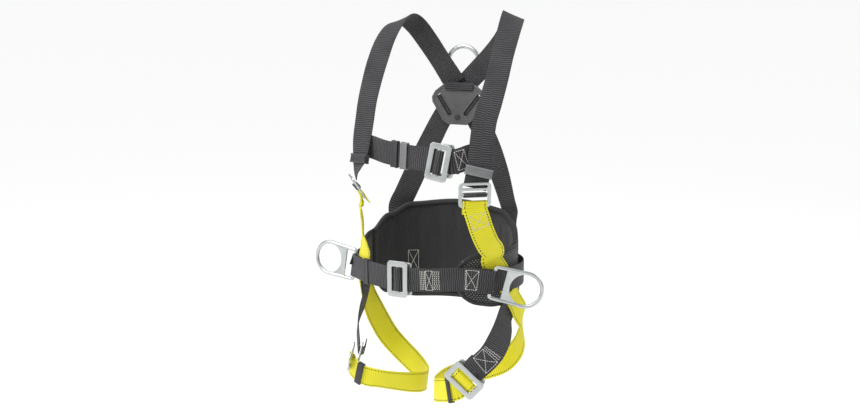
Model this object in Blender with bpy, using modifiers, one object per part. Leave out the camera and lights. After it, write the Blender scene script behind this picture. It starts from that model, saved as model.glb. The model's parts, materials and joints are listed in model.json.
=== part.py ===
"""Full-body safety harness with a work-positioning belt, posed as if worn.

The wearer faces -Y, the wearer's left is +X and +Z is up.  Shapes are drawn in a body frame, in
millimetres, whose zero is the middle of the waist at the height of the belt.  HANG_POINT is the place in
that frame where a hook pulls on the dorsal D-ring, and it becomes the origin of the model.
"""
import math

import bmesh
import bpy
from mathutils import Matrix, Vector

MM = 0.001
PART_NAME = "safety_harness"
UP = Vector((0.0, 0.0, 1.0))

# Driving dimensions, millimetres
WEBBING_WIDTH = 44.0
WEBBING_THICKNESS = 2.0
CLEARANCE = 0.6
KEEPER_PLAY = 2.4
HANG_POINT = Vector((0.0, 116.0, 412.0))

# The waist loop, seen from above, is half an ellipse on each side of the middle
WAIST_LEFT = 172.0
WAIST_RIGHT = 163.0
WAIST_HALF_DEPTH = 127.0
WAIST_CENTRE_Y = -10.0

# Layers under the belt webbing, as offsets of their middles from the waist loop
FOLDED_LAYER = -2.6
YELLOW_LAYER = -5.2
BLACK_LAYER = -7.8
PAD_FACE = -9.8
SIDE_PAD_THICKNESS = 7.0
LUMBAR_PAD_THICKNESS = 12.0

# Buckles: a front plate with a middle bar, and a link behind it
PLATE_SIZE = (42.0, 68.0)
PLATE_WINDOW_HEIGHT = 47.0
PLATE_SIDE_BAR = 9.5
PLATE_MIDDLE_BAR = 4.0
LINK_SIZE = (38.0, 62.0)
LINK_BAR = 7.0
BUCKLE_THICKNESS = 3.0

# Rings: rod radius, half the spacing of the arms, and how far the arc's centre is from the hinge bar
SIDE_RING = (3.5, 31.5, 62.0)
SIDE_WEB_START = 21.8
SIDE_WEB_THICKNESS = 3.2
DORSAL_RING = (4.4, 33.5, 33.0)
DORSAL_BAR = (0.0, 116.0, 350.0)
DORSAL_LOOP_LEG = 30.0
BAR_SHARE = 0.94

MATERIALS = {
    "black_webbing": ((0.045, 0.043, 0.047), 0.75, 0.0),
    "yellow_webbing": ((0.83, 0.75, 0.03), 0.70, 0.0),
    "zinc_plated_steel": ((0.62, 0.64, 0.64), 0.30, 1.0),
    "dark_nylon": ((0.05, 0.05, 0.052), 0.50, 0.0),
    "grey_nylon": ((0.26, 0.26, 0.26), 0.50, 0.0),
    "pad_fabric": ((0.030, 0.028, 0.033), 0.90, 0.0),
    "mesh_fabric": ((0.025, 0.025, 0.028), 0.90, 0.0),
    "elastic": ((0.02, 0.02, 0.02), 0.85, 0.0),
}


# ---------------------------------------------------------------- scene and materials

def clear_scene():
    for thing in list(bpy.data.objects):
        bpy.data.objects.remove(thing, do_unlink=True)


def new_collection(name):
    collection = bpy.data.collections.new(name)
    bpy.context.scene.collection.children.link(collection)
    return collection


def material(name):
    found = bpy.data.materials.get(name)
    if found:
        return found
    colour, roughness, metallic = MATERIALS[name]
    made = bpy.data.materials.new(name)
    made.use_nodes = True
    shader = made.node_tree.nodes["Principled BSDF"]
    shader.inputs["Base Color"].default_value = (*colour, 1.0)
    shader.inputs["Roughness"].default_value = roughness
    shader.inputs["Metallic"].default_value = metallic
    return made


def add_object(name, mesh, slot, origin=HANG_POINT, turn=None):
    """A mesh in millimetres becomes an object in metres, placed by a body-frame origin and a turn."""
    mesh.transform(Matrix.Scale(MM, 4))
    mesh.materials.clear()
    mesh.materials.append(material(slot))
    thing = bpy.data.objects.new(name, mesh)
    place = Matrix.Translation((Vector(origin) - HANG_POINT) * MM)
    thing.matrix_world = place @ (turn.to_4x4() if turn else Matrix())
    bpy.data.collections[PART_NAME].objects.link(thing)
    return thing


def axes(along, up):
    """Turn whose X runs along one direction, whose Y is nearly the other, and whose Z looks outwards."""
    x = Vector(along).normalized()
    z = x.cross(Vector(up)).normalized()
    return Matrix((x, z.cross(x), z)).transposed()


# ---------------------------------------------------------------- routes for webbing

def waist_half_width(turn):
    return WAIST_LEFT if math.sin(turn) >= 0.0 else WAIST_RIGHT


def waist(angle, offset=0.0, z=0.0):
    """Point of the waist loop: angle 0 is the front, 90 the wearer's left, 180 the back."""
    turn = math.radians(angle)
    x = (waist_half_width(turn) + offset) * math.sin(turn)
    y = WAIST_CENTRE_Y - (WAIST_HALF_DEPTH + offset) * math.cos(turn)
    return Vector((x, y, z))


def waist_tangent(angle):
    """Direction of growing angle along the waist loop."""
    turn = math.radians(angle)
    return Vector((waist_half_width(turn) * math.cos(turn), WAIST_HALF_DEPTH * math.sin(turn), 0.0)).normalized()


def waist_normal(angle):
    """Direction straight out of the waist loop."""
    return waist_tangent(angle).cross(UP)


def on_waist(angle, offset, z, side=1.0):
    """A route station on the waist loop; side -1 turns the webbing's outer face inwards."""
    return (*waist(angle, offset, z), *(waist_normal(angle) * side), 1.0)


def waist_place(point):
    """Angle and offset of a body-frame point on the waist loop."""
    offset = 0.0
    for _ in range(6):
        side = math.atan2(point.x, 1.0)
        wide, deep = waist_half_width(side) + offset, WAIST_HALF_DEPTH + offset
        turn = math.atan2(point.x / wide, (WAIST_CENTRE_Y - point.y) / deep)
        reached = math.hypot(wide * math.sin(turn), deep * math.cos(turn))
        offset += math.hypot(point.x, point.y - WAIST_CENTRE_Y) - reached
    return math.degrees(turn), offset


def hug_waist(point, offset, share):
    """Draw a point of some webbing towards the waist loop's surface at this offset."""
    if share <= 0.0:
        return point
    angle, _ = waist_place(point)
    return point.lerp(waist(angle, offset, point.z), share)


def catmull_rom(p0, p1, p2, p3, t):
    slope = (p2 - p0) * t
    bend = (2 * p0 - 5 * p1 + 4 * p2 - p3) * t ** 2
    return 0.5 * (2 * p1 + slope + bend + (3 * p1 - p0 - 3 * p2 + p3) * t ** 3)


def smooth_route(stations, steps):
    """Points, outward directions, shares of waist curvature and waist offsets along a smooth curve."""
    points = [Vector(s[:3]) for s in stations]
    faces = [Vector(s[3:6]).normalized() for s in stations]
    hugs = [(s[6] if len(s) > 6 else 0.0, waist_place(Vector(s[:3]))[1]) for s in stations]
    points = [2 * points[0] - points[1], *points, 2 * points[-1] - points[-2]]
    faces = [faces[0], *faces, faces[-1]]
    route = []
    for i in range(1, len(points) - 2):
        (share, offset), (next_share, next_offset) = hugs[i - 1:i + 1]
        for step in range(steps):
            t = step / steps
            point = catmull_rom(*points[i - 1:i + 3], t)
            face = catmull_rom(*faces[i - 1:i + 3], t)
            route.append((point, face, share + (next_share - share) * t, offset + (next_offset - offset) * t))
    return [*route, (points[-2], faces[-2], *hugs[-1])]


def strip_mesh(name, rails):
    """An open strip of faces between pairs of edge points."""
    sheet = bmesh.new()
    pairs = [[sheet.verts.new(point) for point in rail] for rail in rails]
    for low, high in zip(pairs, pairs[1:]):
        for k in range(len(low) - 1):
            sheet.faces.new((low[k], low[k + 1], high[k + 1], high[k]))
    mesh = bpy.data.meshes.new(name)
    sheet.to_mesh(mesh)
    sheet.free()
    mesh.shade_smooth()
    return mesh


def thicken(thing, thickness, offset=0.0):
    wall = thing.modifiers.new("thickness", "SOLIDIFY")
    wall.thickness = thickness * MM
    wall.offset = offset
    return thing


def webbing(name, stations, slot, steps=3, width=WEBBING_WIDTH):
    """Flat webbing through stations (x, y, z, and the direction in which its outer face looks)."""
    route = smooth_route(stations, steps)
    columns = 3 if any(share for _, _, share, _ in route) else 1
    rails = []
    for i, (point, face, share, offset) in enumerate(route):
        before = route[max(i - 1, 0)][0]
        after = route[min(i + 1, len(route) - 1)][0]
        across = (after - before).cross(face).normalized() * (width / 2)
        places = [2 * k / columns - 1 for k in range(columns + 1)]
        rails.append([hug_waist(point + across * k, offset, share) - HANG_POINT for k in places])
    return thicken(add_object(name, strip_mesh(name, rails), slot), WEBBING_THICKNESS)


def turn_round(bar, outward, inner_side, radius, first_angle=0.0, last_angle=180.0, steps=6):
    """Stations for webbing that turns round a bar: outward points past the bar, inner_side at one leg."""
    stations = []
    for step in range(steps + 1):
        angle = math.radians(first_angle + (last_angle - first_angle) * step / steps)
        face = -Vector(inner_side) * math.cos(angle) + Vector(outward) * math.sin(angle)
        stations.append((*(Vector(bar) + face * radius), *face))
    return stations


# ---------------------------------------------------------------- flat plates and rods

def rounded_rectangle(width, height, radius, centre=(0.0, 0.0), steps=4):
    points = []
    for corner in range(4):
        middle = math.radians(45 + 90 * corner)
        x = centre[0] + math.copysign(width / 2 - radius, math.cos(middle))
        y = centre[1] + math.copysign(height / 2 - radius, math.sin(middle))
        for step in range(steps + 1):
            angle = math.radians(90 * corner + 90 * step / steps)
            points.append((x + radius * math.cos(angle), y + radius * math.sin(angle)))
    return points


def circle(radius, centre=(0.0, 0.0), steps=24):
    turns = [2 * math.pi * step / steps for step in range(steps)]
    return [(centre[0] + radius * math.cos(t), centre[1] + radius * math.sin(t)) for t in turns]


def curve_mesh(curve):
    """The mesh that a curve makes, with its caps welded on."""
    thing = bpy.data.objects.new("guide", curve)
    bpy.context.scene.collection.objects.link(thing)
    bpy.context.view_layer.update()
    shape = thing.evaluated_get(bpy.context.evaluated_depsgraph_get())
    mesh = bpy.data.meshes.new_from_object(shape)
    bpy.data.objects.remove(thing, do_unlink=True)
    weld = bmesh.new()
    weld.from_mesh(mesh)
    bmesh.ops.remove_doubles(weld, verts=weld.verts, dist=0.001)
    bmesh.ops.recalc_face_normals(weld, faces=weld.faces)
    weld.to_mesh(mesh)
    weld.free()
    return mesh


def add_spline(curve, points, closed=True):
    spline = curve.splines.new("POLY")
    spline.points.add(len(points) - 1)
    for target, point in zip(spline.points, points):
        target.co = (*point, 0.0, 1.0) if len(point) == 2 else (*point, 1.0)
    spline.use_cyclic_u = closed


def plate_mesh(name, outlines, thickness):
    """A flat plate in its own XY plane: the first outline is its edge, the others are its windows."""
    curve = bpy.data.curves.new(name, "CURVE")
    curve.dimensions = "2D"
    curve.fill_mode = "BOTH"
    curve.extrude = thickness / 2
    for outline in outlines:
        add_spline(curve, outline)
    return curve_mesh(curve)


def rod_mesh(name, points, radius, closed=False):
    curve = bpy.data.curves.new(name, "CURVE")
    curve.dimensions = "3D"
    curve.bevel_depth = radius
    curve.bevel_resolution = 2
    curve.use_fill_caps = True
    add_spline(curve, points, closed)
    return curve_mesh(curve)


def soften(thing, width, segments=1):
    bevel = thing.modifiers.new("rounded edges", "BEVEL")
    bevel.width = width * MM
    bevel.segments = segments
    bevel.limit_method = "ANGLE"
    bevel.angle_limit = math.radians(50)
    return thing


def plate(name, outlines, thickness, slot, origin, turn, edge=0.7):
    thing = add_object(name, plate_mesh(name, outlines, thickness), slot, origin, turn)
    return soften(thing, edge)


def join(thing, other_mesh, operation):
    """Join to, or cut from, a finished object another mesh drawn in the same local millimetres."""
    other_mesh.transform(Matrix.Scale(MM, 4))
    tool = bpy.data.objects.new(thing.name + "_cutter", other_mesh)
    tool.matrix_world = thing.matrix_world
    tool.hide_render = True
    tool.display_type = "WIRE"
    bpy.data.collections["cutters"].objects.link(tool)
    step = thing.modifiers.new(operation.lower(), "BOOLEAN")
    step.operation = operation
    step.object = tool
    return thing


def keeper(name, stations, near, length, slot, opening=6.0, wall=1.8):
    """A short sleeve round webbing with these stations, at the route's point nearest to a place."""
    route = smooth_route(stations, 6)
    middle = min(range(1, len(route) - 1), key=lambda i: (route[i][0] - Vector(near)).length)
    along = route[middle + 1][0] - route[middle - 1][0]
    turn = axes(along, Vector(route[middle][1]).cross(along))
    hole_height = WEBBING_WIDTH + KEEPER_PLAY
    outline = rounded_rectangle(opening + 2 * wall, hole_height + 2 * wall, wall)
    hole = rounded_rectangle(opening, hole_height, 0.8, steps=1)
    stand = Matrix.Rotation(math.radians(90), 3, "Y")
    thing = add_object(name, plate_mesh(name, (outline, hole), length), slot, route[middle][0], turn @ stand)
    return soften(thing, 0.5)


# ---------------------------------------------------------------- rings

def d_ring(name, size, origin, outward, bar_direction, web):
    """A D-ring whose straight bar, on the joint axis, is its local Y and whose arc lies along local X."""
    rod, half_spacing, reach = size
    corner = 1.6 * rod
    half_bar = BAR_SHARE * half_spacing
    points = []
    for step in range(4):
        angle = math.radians(180 + 90 * step / 3)
        points.append((corner + corner * math.cos(angle), corner - half_bar + corner * math.sin(angle), 0.0))
    for step in range(17):
        angle = math.radians(-90 + 180 * step / 16)
        points.append((reach + half_spacing * math.cos(angle), half_spacing * math.sin(angle), 0.0))
    for step in range(4):
        angle = math.radians(90 + 90 * step / 3)
        points.append((corner + corner * math.cos(angle), half_bar - corner + corner * math.sin(angle), 0.0))
    turn = axes(outward, bar_direction)
    ring = add_object(name, rod_mesh(name, points, rod, closed=True), "zinc_plated_steel", origin, turn)
    if web:
        start, thickness = web
        eye = half_spacing - 0.75 * rod
        inner = half_bar + (half_spacing - half_bar) * start / reach
        sheet = [(start, -inner), (reach, -half_spacing), (reach, half_spacing), (start, inner)]
        web_mesh = plate_mesh(name + "_web", (sheet,), thickness)
        join(ring, web_mesh, "UNION")
        drill = plate_mesh(name + "_eye", (circle(eye, (reach, 0.0), 32),), 6 * rod)
        join(ring, drill, "DIFFERENCE")
    return ring


# Places of the side rings: the middle of the hinge bar, the way the ring lies, and the bar's direction
RING_BAR_OFFSET = 3.4
LEFT_RING_ANGLE = 56.0
LEFT_RING = (waist(LEFT_RING_ANGLE, RING_BAR_OFFSET, -1.0), Vector((0.89, 0.39, -0.24)), Vector((0.20, 0.10, 0.97)))
RIGHT_RING_ANGLE = -69.0
RIGHT_RING = (waist(RIGHT_RING_ANGLE, RING_BAR_OFFSET, -4.0), Vector((-0.98, 0.15, 0.11)), Vector((0.11, 0.05, 0.99)))


def make_rings():
    web = (SIDE_WEB_START, SIDE_WEB_THICKNESS)
    d_ring("side_ring_right", SIDE_RING, *RIGHT_RING, web)
    d_ring("side_ring_left", SIDE_RING, *LEFT_RING, web)
    d_ring("dorsal_ring", DORSAL_RING, DORSAL_BAR, (0.0, 0.0, 1.0), (1.0, 0.0, 0.0), None)
    radius = DORSAL_RING[0] + CLEARANCE + WEBBING_THICKNESS / 2
    turn = turn_round(DORSAL_BAR, (0.0, 0.0, 1.0), (0.0, -1.0, 0.0), radius)
    x, y, z = DORSAL_BAR
    back = (x, y + radius, z - DORSAL_LOOP_LEG, 0.0, 1.0, 0.0)
    front = (x, y - radius, z - DORSAL_LOOP_LEG, 0.0, -1.0, 0.0)
    webbing("dorsal_ring_loop", [back, *turn, front], "black_webbing", steps=1)


# ---------------------------------------------------------------- shoulder and back straps

SHOULDER_RIGHT = [
    (-118.5, -113.5, 178.5, -0.70, -0.58, -0.42),
    (-119.5, -108.5, 192, -0.68, -0.70, -0.2),
    (-118, -101, 214, -0.48, -0.88, 0.0),
    (-116, -96, 248, -0.26, -0.97, 0.0),
    (-114, -88, 284, -0.18, -0.98, 0.1),
    (-115, -74, 320, -0.14, -0.97, 0.2),
    (-116, -52, 358, -0.07, -0.90, 0.4),
    (-117, -25, 396, 0.00, -0.78, 0.6),
    (-117, 6, 432, -0.06, -0.65, 0.75),
    (-113, 38, 459, -0.18, -0.42, 0.88),
    (-104, 68, 470, -0.42, 0.10, 0.88),
    (-91, 90, 456, -0.40, 0.70, 0.55),
    (-69, 100, 424, -0.15, 0.95, 0.2),
    (-45, 105, 388, 0.0, 0.99, 0.1),
    (-12, 103, 343, 0.0, 0.985, -0.17),
]
SHOULDER_LEFT = [
    (125, -121, 177.5, 0.60, -0.79, -0.08),
    (128, -117.5, 194, 0.48, -0.87, 0.0),
    (131, -112, 217, 0.36, -0.93, 0.0),
    (132, -107, 255, 0.24, -0.96, 0.05),
    (134, -98, 295, 0.15, -0.97, 0.15),
    (139, -84, 329, 0.10, -0.95, 0.25),
    (141, -60, 368, 0.05, -0.87, 0.45),
    (140, -35, 404, 0.04, -0.76, 0.62),
    (138, -4, 440, 0.12, -0.60, 0.78),
    (134, 26, 466, 0.25, -0.42, 0.87),
    (128, 54, 479, 0.40, 0.05, 0.90),
    (115, 78, 461, 0.40, 0.62, 0.62),
    (91, 96, 428, 0.20, 0.93, 0.3),
    (61, 107, 396, 0.0, 0.99, 0.1),
    (34, 110, 370, 0.0, 0.99, -0.05),
    (12, 107.5, 347, 0.0, 0.985, -0.17),
]
BACK_LEFT = [
    (-6, 101.6, 335, 0.0, 0.985, -0.17),
    (16, 97.0, 308, 0.0, 0.985, -0.17),
    (40, 91.5, 276, 0.0, 0.985, -0.17),
    (58, 89.0, 247, 0.05, 0.99, 0.0),
    (74, 90.0, 212, 0.10, 0.99, 0.0),
    (89, 92.5, 168, 0.20, 0.97, 0.0),
    (102, 95.5, 122, 0.40, 0.90, 0.0),
    (112, 93.5, 90, 0.45, 0.88, 0.0),
    on_waist(132, BLACK_LAYER + 1.0, 55),
    on_waist(125, BLACK_LAYER, 26),
]
BACK_RIGHT = [
    (6, 105.0, 339, 0.0, 0.985, -0.17),
    (-18, 100.0, 306, 0.0, 0.985, -0.17),
    (-40, 94.5, 270, 0.0, 0.985, -0.17),
    (-58, 92.0, 235, -0.05, 0.99, 0.0),
    (-79, 92.0, 196, -0.10, 0.99, 0.0),
    (-99, 92.5, 156, -0.25, 0.96, 0.0),
    (-117, 90.5, 118, -0.45, 0.88, 0.0),
    (-128, 84.0, 90, -0.55, 0.83, 0.0),
    on_waist(-130, BLACK_LAYER + 1.0, 55),
    on_waist(-121, BLACK_LAYER, 24),
]


def make_upper_webbing():
    webbing("shoulder_strap_right", SHOULDER_RIGHT, "black_webbing")
    webbing("shoulder_strap_left", SHOULDER_LEFT, "black_webbing")
    webbing("back_strap_right", BACK_RIGHT, "black_webbing")
    webbing("back_strap_left", BACK_LEFT, "black_webbing")


# ---------------------------------------------------------------- dorsal plate

PLATE_CENTRE = (0.0, 91.5, 303.0)
PLATE_UP = (0.0, 0.17, 0.985)
PLATE_THICKNESS = 4.5
PLATE_SLOT = (50.0, 9.0)
PLATE_SLOT_OFFSET = 30.0
PLATE_SLOT_ANGLE = 54.0
RIVET = (5.5, 2.6, 5.4)
RIVET_DROP = 24.0
PLATE_OUTLINE = [
    (-34, 40), (34, 40), (52, 26), (58, 14), (56, 4), (40, -18), (32, -30), (20, -39),
    (-20, -39), (-32, -30), (-40, -18), (-56, 4), (-58, 14), (-52, 26),
]


def make_dorsal_plate():
    turn = axes((1.0, 0.0, 0.0), PLATE_UP)
    thing = plate("dorsal_plate", (PLATE_OUTLINE,), PLATE_THICKNESS, "grey_nylon", PLATE_CENTRE, turn, edge=1.2)
    for side in (-1, 1):
        slot = plate_mesh("slot", (rounded_rectangle(*PLATE_SLOT, 3.0, steps=2),), 4 * PLATE_THICKNESS)
        lean = Matrix.Rotation(side * math.radians(PLATE_SLOT_ANGLE), 4, "Z")
        slot.transform(Matrix.Translation((side * PLATE_SLOT_OFFSET, 0.0, 0.0)) @ lean)
        join(thing, slot, "DIFFERENCE")
    radius, low, high = RIVET
    head = rod_mesh("rivet", [(0, 0, low), (0, 0, high)], radius)
    boss = add_object("dorsal_plate_rivet", head, "dark_nylon", PLATE_CENTRE, turn)
    boss.matrix_world = boss.matrix_world @ Matrix.Translation((0.0, -RIVET_DROP * MM, 0.0))


# ---------------------------------------------------------------- buckles

def buckle_plate(name, origin, along, up):
    """The front plate: a frame with two windows, one each side of a middle bar for the webbing."""
    width, height = PLATE_SIZE
    window = (width - 2 * PLATE_SIDE_BAR - PLATE_MIDDLE_BAR) / 2
    shift = (window + PLATE_MIDDLE_BAR) / 2
    outline = rounded_rectangle(width, height, 7.0)
    windows = [rounded_rectangle(window, PLATE_WINDOW_HEIGHT, 1.5, (side * shift, 0.0), 2) for side in (-1, 1)]
    return plate(name, (outline, *windows), BUCKLE_THICKNESS, "zinc_plated_steel", origin, axes(along, up))


def buckle_link(name, bar, along, up):
    """The link behind the plate; its origin is the middle of the bar that the other webbing turns round."""
    width, height = LINK_SIZE
    centre = (-(width - LINK_BAR) / 2, 0.0)
    outline = rounded_rectangle(width, height, 6.0, centre)
    window = rounded_rectangle(width - 2 * LINK_BAR, PLATE_WINDOW_HEIGHT, 2.0, centre, 2)
    return plate(name, (outline, window), BUCKLE_THICKNESS, "zinc_plated_steel", bar, axes(along, up))


def behind(place, shift, depth):
    """Where a link's bar sits for a plate at this place: further along, and behind the plate."""
    origin, along, up = place
    return (Vector(origin) + axes(along, up) @ Vector((shift, 0.0, -depth)), along, up)


def over_middle_bar(origin, along, up):
    """Stations for webbing that comes from behind, over the plate's middle bar and back behind it."""
    turn = axes(along, up)
    x, _, out = turn.transposed()
    profile = [
        (-24.0, -4.2, 0.10), (-12.0, -4.0, 0.0), (-8.0, -2.0, -0.7), (-5.2, 1.2, -0.8), (-2.6, 3.2, -0.4),
        (0.0, 3.6, 0.0), (2.6, 3.2, 0.4), (5.2, 1.2, 0.8), (7.2, -2.4, 0.9),
    ]
    stations = []
    for step, depth, lean in profile:
        point = Vector(origin) + x * step + out * depth
        stations.append((*point, *(out + x * lean)))
    return stations


def round_link_bar(bar, along, up, leg):
    """Stations for webbing that turns round a link's bar, from the tail behind it to the front."""
    x, _, out = axes(along, up).transposed()
    radius = math.hypot(LINK_BAR, BUCKLE_THICKNESS) / 2 + CLEARANCE + WEBBING_THICKNESS / 2
    tail = Vector(bar) + x * leg - out * radius
    return [(*tail, *(-out)), *turn_round(bar, -x, out, radius)]


LINK_SHIFT = 22.0
LINK_DEPTH = 9.4
CHEST_PLATE = ((59.0, -134.0, 222.0), (0.97, 0.05, -0.17), (0.18, 0.08, 0.98))
CHEST_LINK = ((80.0, -120.5, 222.5), (0.98, 0.16, -0.08), (0.08, 0.0, 1.0))
BELT_PLATE = (tuple(waist(-7.0, 4.5)), (0.99, -0.04, 0.0), (0.0, 0.0, 1.0))
BELT_LINK = behind(BELT_PLATE, LINK_SHIFT, LINK_DEPTH)
LEFT_LEG_PLATE = ((120.0, -153.0, -172.0), (0.66, 0.10, 0.74), (-0.70, -0.15, 0.68))
LEFT_LEG_LINK = behind(LEFT_LEG_PLATE, LINK_SHIFT, LINK_DEPTH)
RIGHT_LEG_PLATE = ((-134.0, -115.0, -172.0), (-0.05, 0.64, 0.77), (-0.44, 0.68, -0.60))
RIGHT_LEG_LINK = behind(RIGHT_LEG_PLATE, LINK_SHIFT, LINK_DEPTH + 6.0)


def make_buckles():
    for name, front, back in (("chest_buckle", CHEST_PLATE, CHEST_LINK),
                              ("belt_buckle", BELT_PLATE, BELT_LINK),
                              ("leg_buckle_left", LEFT_LEG_PLATE, LEFT_LEG_LINK),
                              ("leg_buckle_right", RIGHT_LEG_PLATE, RIGHT_LEG_LINK)):
        buckle_plate(name + "_plate", *front)
        buckle_link(name + "_link", *back)


# ---------------------------------------------------------------- chest strap

def make_chest_strap():
    right = [
        (-126, -85, 239, -0.20, -0.98, 0.0),
        (-108, -90, 238, -0.28, -0.96, 0.0),
        (-90, -97.5, 236, -0.34, -0.94, 0.0),
        (-61, -111, 232, -0.30, -0.95, 0.0),
        (-34, -120, 230, -0.25, -0.97, 0.0),
        (-10, -126, 228.5, -0.18, -0.98, 0.0),
        (14, -131, 227, -0.10, -0.99, 0.0),
        *over_middle_bar(*CHEST_PLATE),
    ]
    webbing("chest_strap_right", right, "black_webbing", steps=2)
    webbing("chest_strap_left", [
        *round_link_bar(*CHEST_LINK, 14.0),
        (90, -124.0, 224.5, 0.30, -0.95, 0.0),
        (100, -117.5, 228, 0.60, -0.80, 0.0),
        (109, -108.5, 232, 0.66, -0.75, 0.0),
        (118, -101.5, 234, 0.50, -0.86, 0.0),
        (130, -96.5, 236, 0.36, -0.93, 0.0),
        (142, -92.5, 238, 0.30, -0.95, 0.0),
    ], "black_webbing", steps=2)
    keeper("chest_keeper_inner", right, (-34, -120, 230), 15.0, "dark_nylon")
    keeper("chest_keeper_outer", right, (-13, -125, 229), 15.0, "grey_nylon")
    keeper("shoulder_keeper_right", SHOULDER_RIGHT, (-118, -102, 213), 17.0, "dark_nylon", opening=8.8)
    keeper("shoulder_keeper_left", SHOULDER_LEFT, (130, -114, 206), 17.0, "grey_nylon", opening=7.4)


# ---------------------------------------------------------------- torso adjusters

ADJUSTER_SIZE = (60.0, 46.0)
ADJUSTER_ROD = 3.0
ADJUSTER_THICKNESS = 3.0
ADJUSTER_FOLD = -14.2
ADJUSTER_SLOT = (5.0, 46.0)
ADJUSTER_WINDOW = (21.0, 47.0)
ADJUSTER_ROD_HALF = 22.8
ADJUSTER_ROD_PLACE = Vector((1.0, 0.0, 0.0))
ADJUSTER_WRAP_GAP = 0.4
LOWER_BAR_GAP = 0.8
ADJUSTER_WRAP_ANGLES = (-40.0, 220.0)
RIGHT_ADJUSTER = ((-117.0, -116.0, 164.0), (-0.42, -0.30, 0.86), (0.60, -0.80, 0.0))
LEFT_ADJUSTER = ((127.0, -124.5, 166.0), (0.05, -0.07, 0.99), (0.80, 0.60, 0.0))


def adjuster(side, place):
    """A rod adjuster: local X runs up the strap, local Y across it, local Z out of its face."""
    origin, upwards, across = place
    turn = axes(upwards, Vector(across) * -1)
    width, height = ADJUSTER_SIZE
    outline = rounded_rectangle(height, width, 8.0)
    top_slot = rounded_rectangle(*ADJUSTER_SLOT, 2.0, (15.5, 0.0), 2)
    window = rounded_rectangle(*ADJUSTER_WINDOW, 2.5, (-2.0, 0.0), 2)
    plate("torso_adjuster_frame_" + side, (outline, top_slot, window), ADJUSTER_THICKNESS,
          "zinc_plated_steel", origin, turn)
    rod_centre = Vector(origin) + turn @ ADJUSTER_ROD_PLACE
    rod = rod_mesh("rod", [(0.0, -ADJUSTER_ROD_HALF, 0.0), (0.0, ADJUSTER_ROD_HALF, 0.0)], ADJUSTER_ROD)
    add_object("torso_adjuster_rod_" + side, rod, "zinc_plated_steel", rod_centre, turn)
    radius = ADJUSTER_ROD + ADJUSTER_WRAP_GAP + WEBBING_THICKNESS / 2
    x, _, out = turn.transposed()
    wrap = turn_round(rod_centre, -x, -out, radius, *ADJUSTER_WRAP_ANGLES, steps=9)
    webbing("torso_adjuster_wrap_" + side, wrap, "black_webbing", steps=1, width=WEBBING_WIDTH - 1.0)


def round_lower_bar(place):
    """Stations for webbing folded over the adjuster's lower bar, from its tail behind to its front."""
    origin, upwards, across = place
    turn = axes(upwards, Vector(across) * -1)
    x, _, out = turn.transposed()
    bar = Vector(origin) + x * ADJUSTER_FOLD
    radius = ADJUSTER_THICKNESS / 2 + LOWER_BAR_GAP + WEBBING_THICKNESS / 2
    tail = bar - x * 22.0 - out * radius
    return [(*tail, *(-out)), *turn_round(bar, x, out, radius), (*(bar - x * 10.0 + out * radius), *out)]


def make_torso_straps():
    adjuster("right", RIGHT_ADJUSTER)
    adjuster("left", LEFT_ADJUSTER)
    webbing("torso_strap_right", [
        *round_lower_bar(RIGHT_ADJUSTER),
        (-109, -119, 128, -0.84, -0.54, 0.1),
        (-108, -113, 104, -0.89, -0.45, 0.0),
        (-110, -105, 78, -0.90, -0.43, 0.0),
        (-109, -101, 56, -0.84, -0.55, 0.0, 0.4),
        on_waist(-46, YELLOW_LAYER - 0.4, 34),
        on_waist(-54, YELLOW_LAYER, 8),
        on_waist(-66, YELLOW_LAYER, -12),
    ], "yellow_webbing", steps=2)
    webbing("torso_strap_left", [
        *round_lower_bar(LEFT_ADJUSTER),
        (134, -124, 122, 0.55, -0.83, 0.0),
        (140, -118, 98, 0.55, -0.83, 0.0),
        (146, -106, 74, 0.62, -0.78, 0.0),
        (149.5, -87, 56, 0.72, -0.70, 0.0, 0.4),
        on_waist(58, YELLOW_LAYER - 0.2, 36),
        on_waist(67, YELLOW_LAYER, 8),
        on_waist(76, YELLOW_LAYER, -17),
    ], "yellow_webbing", steps=2)


# ---------------------------------------------------------------- belt

def pad_mesh(name, columns, rows=3):
    """A curved panel on the waist loop from columns of (angle, offset, bottom, top)."""
    rails = []
    for angle, offset, bottom, top in columns:
        rails.append([waist(angle, offset, bottom + (top - bottom) * k / rows) - HANG_POINT
                      for k in range(rows + 1)])
    return strip_mesh(name, rails)


def pad_edges(keys, angle):
    """Height of a pad's edge at an angle, from (angle, height) keys joined smoothly."""
    for (a0, h0), (a1, h1) in zip(keys, keys[1:]):
        if a0 <= angle <= a1:
            share = (angle - a0) / (a1 - a0)
            return h0 + (h1 - h0) * share * share * (3 - 2 * share)
    return keys[-1][1]


LUMBAR_ANGLES = (97.0, 263.0)
LUMBAR_STEPS = 24
SIDE_PAD_STEP = 4.5
LUMBAR_TOP = [(97, 56), (118, 84), (140, 104), (180, 112)]
LUMBAR_BOTTOM = [(97, -48), (115, -78), (145, -90), (180, -88)]
# Side pads: how far each reaches round the waist, and the heights of its edges
SIDE_PADS = {
    "left": ((31, 96), [(31, 20), (36, 40), (46, 50), (96, 55)],
             [(31, -12), (35, -32), (46, -46), (62, -52), (80, -50), (96, -47)]),
    "right": ((72, 96), [(72, 30), (78, 46), (96, 55)], [(72, -26), (78, -44), (96, -50)]),
}


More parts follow.
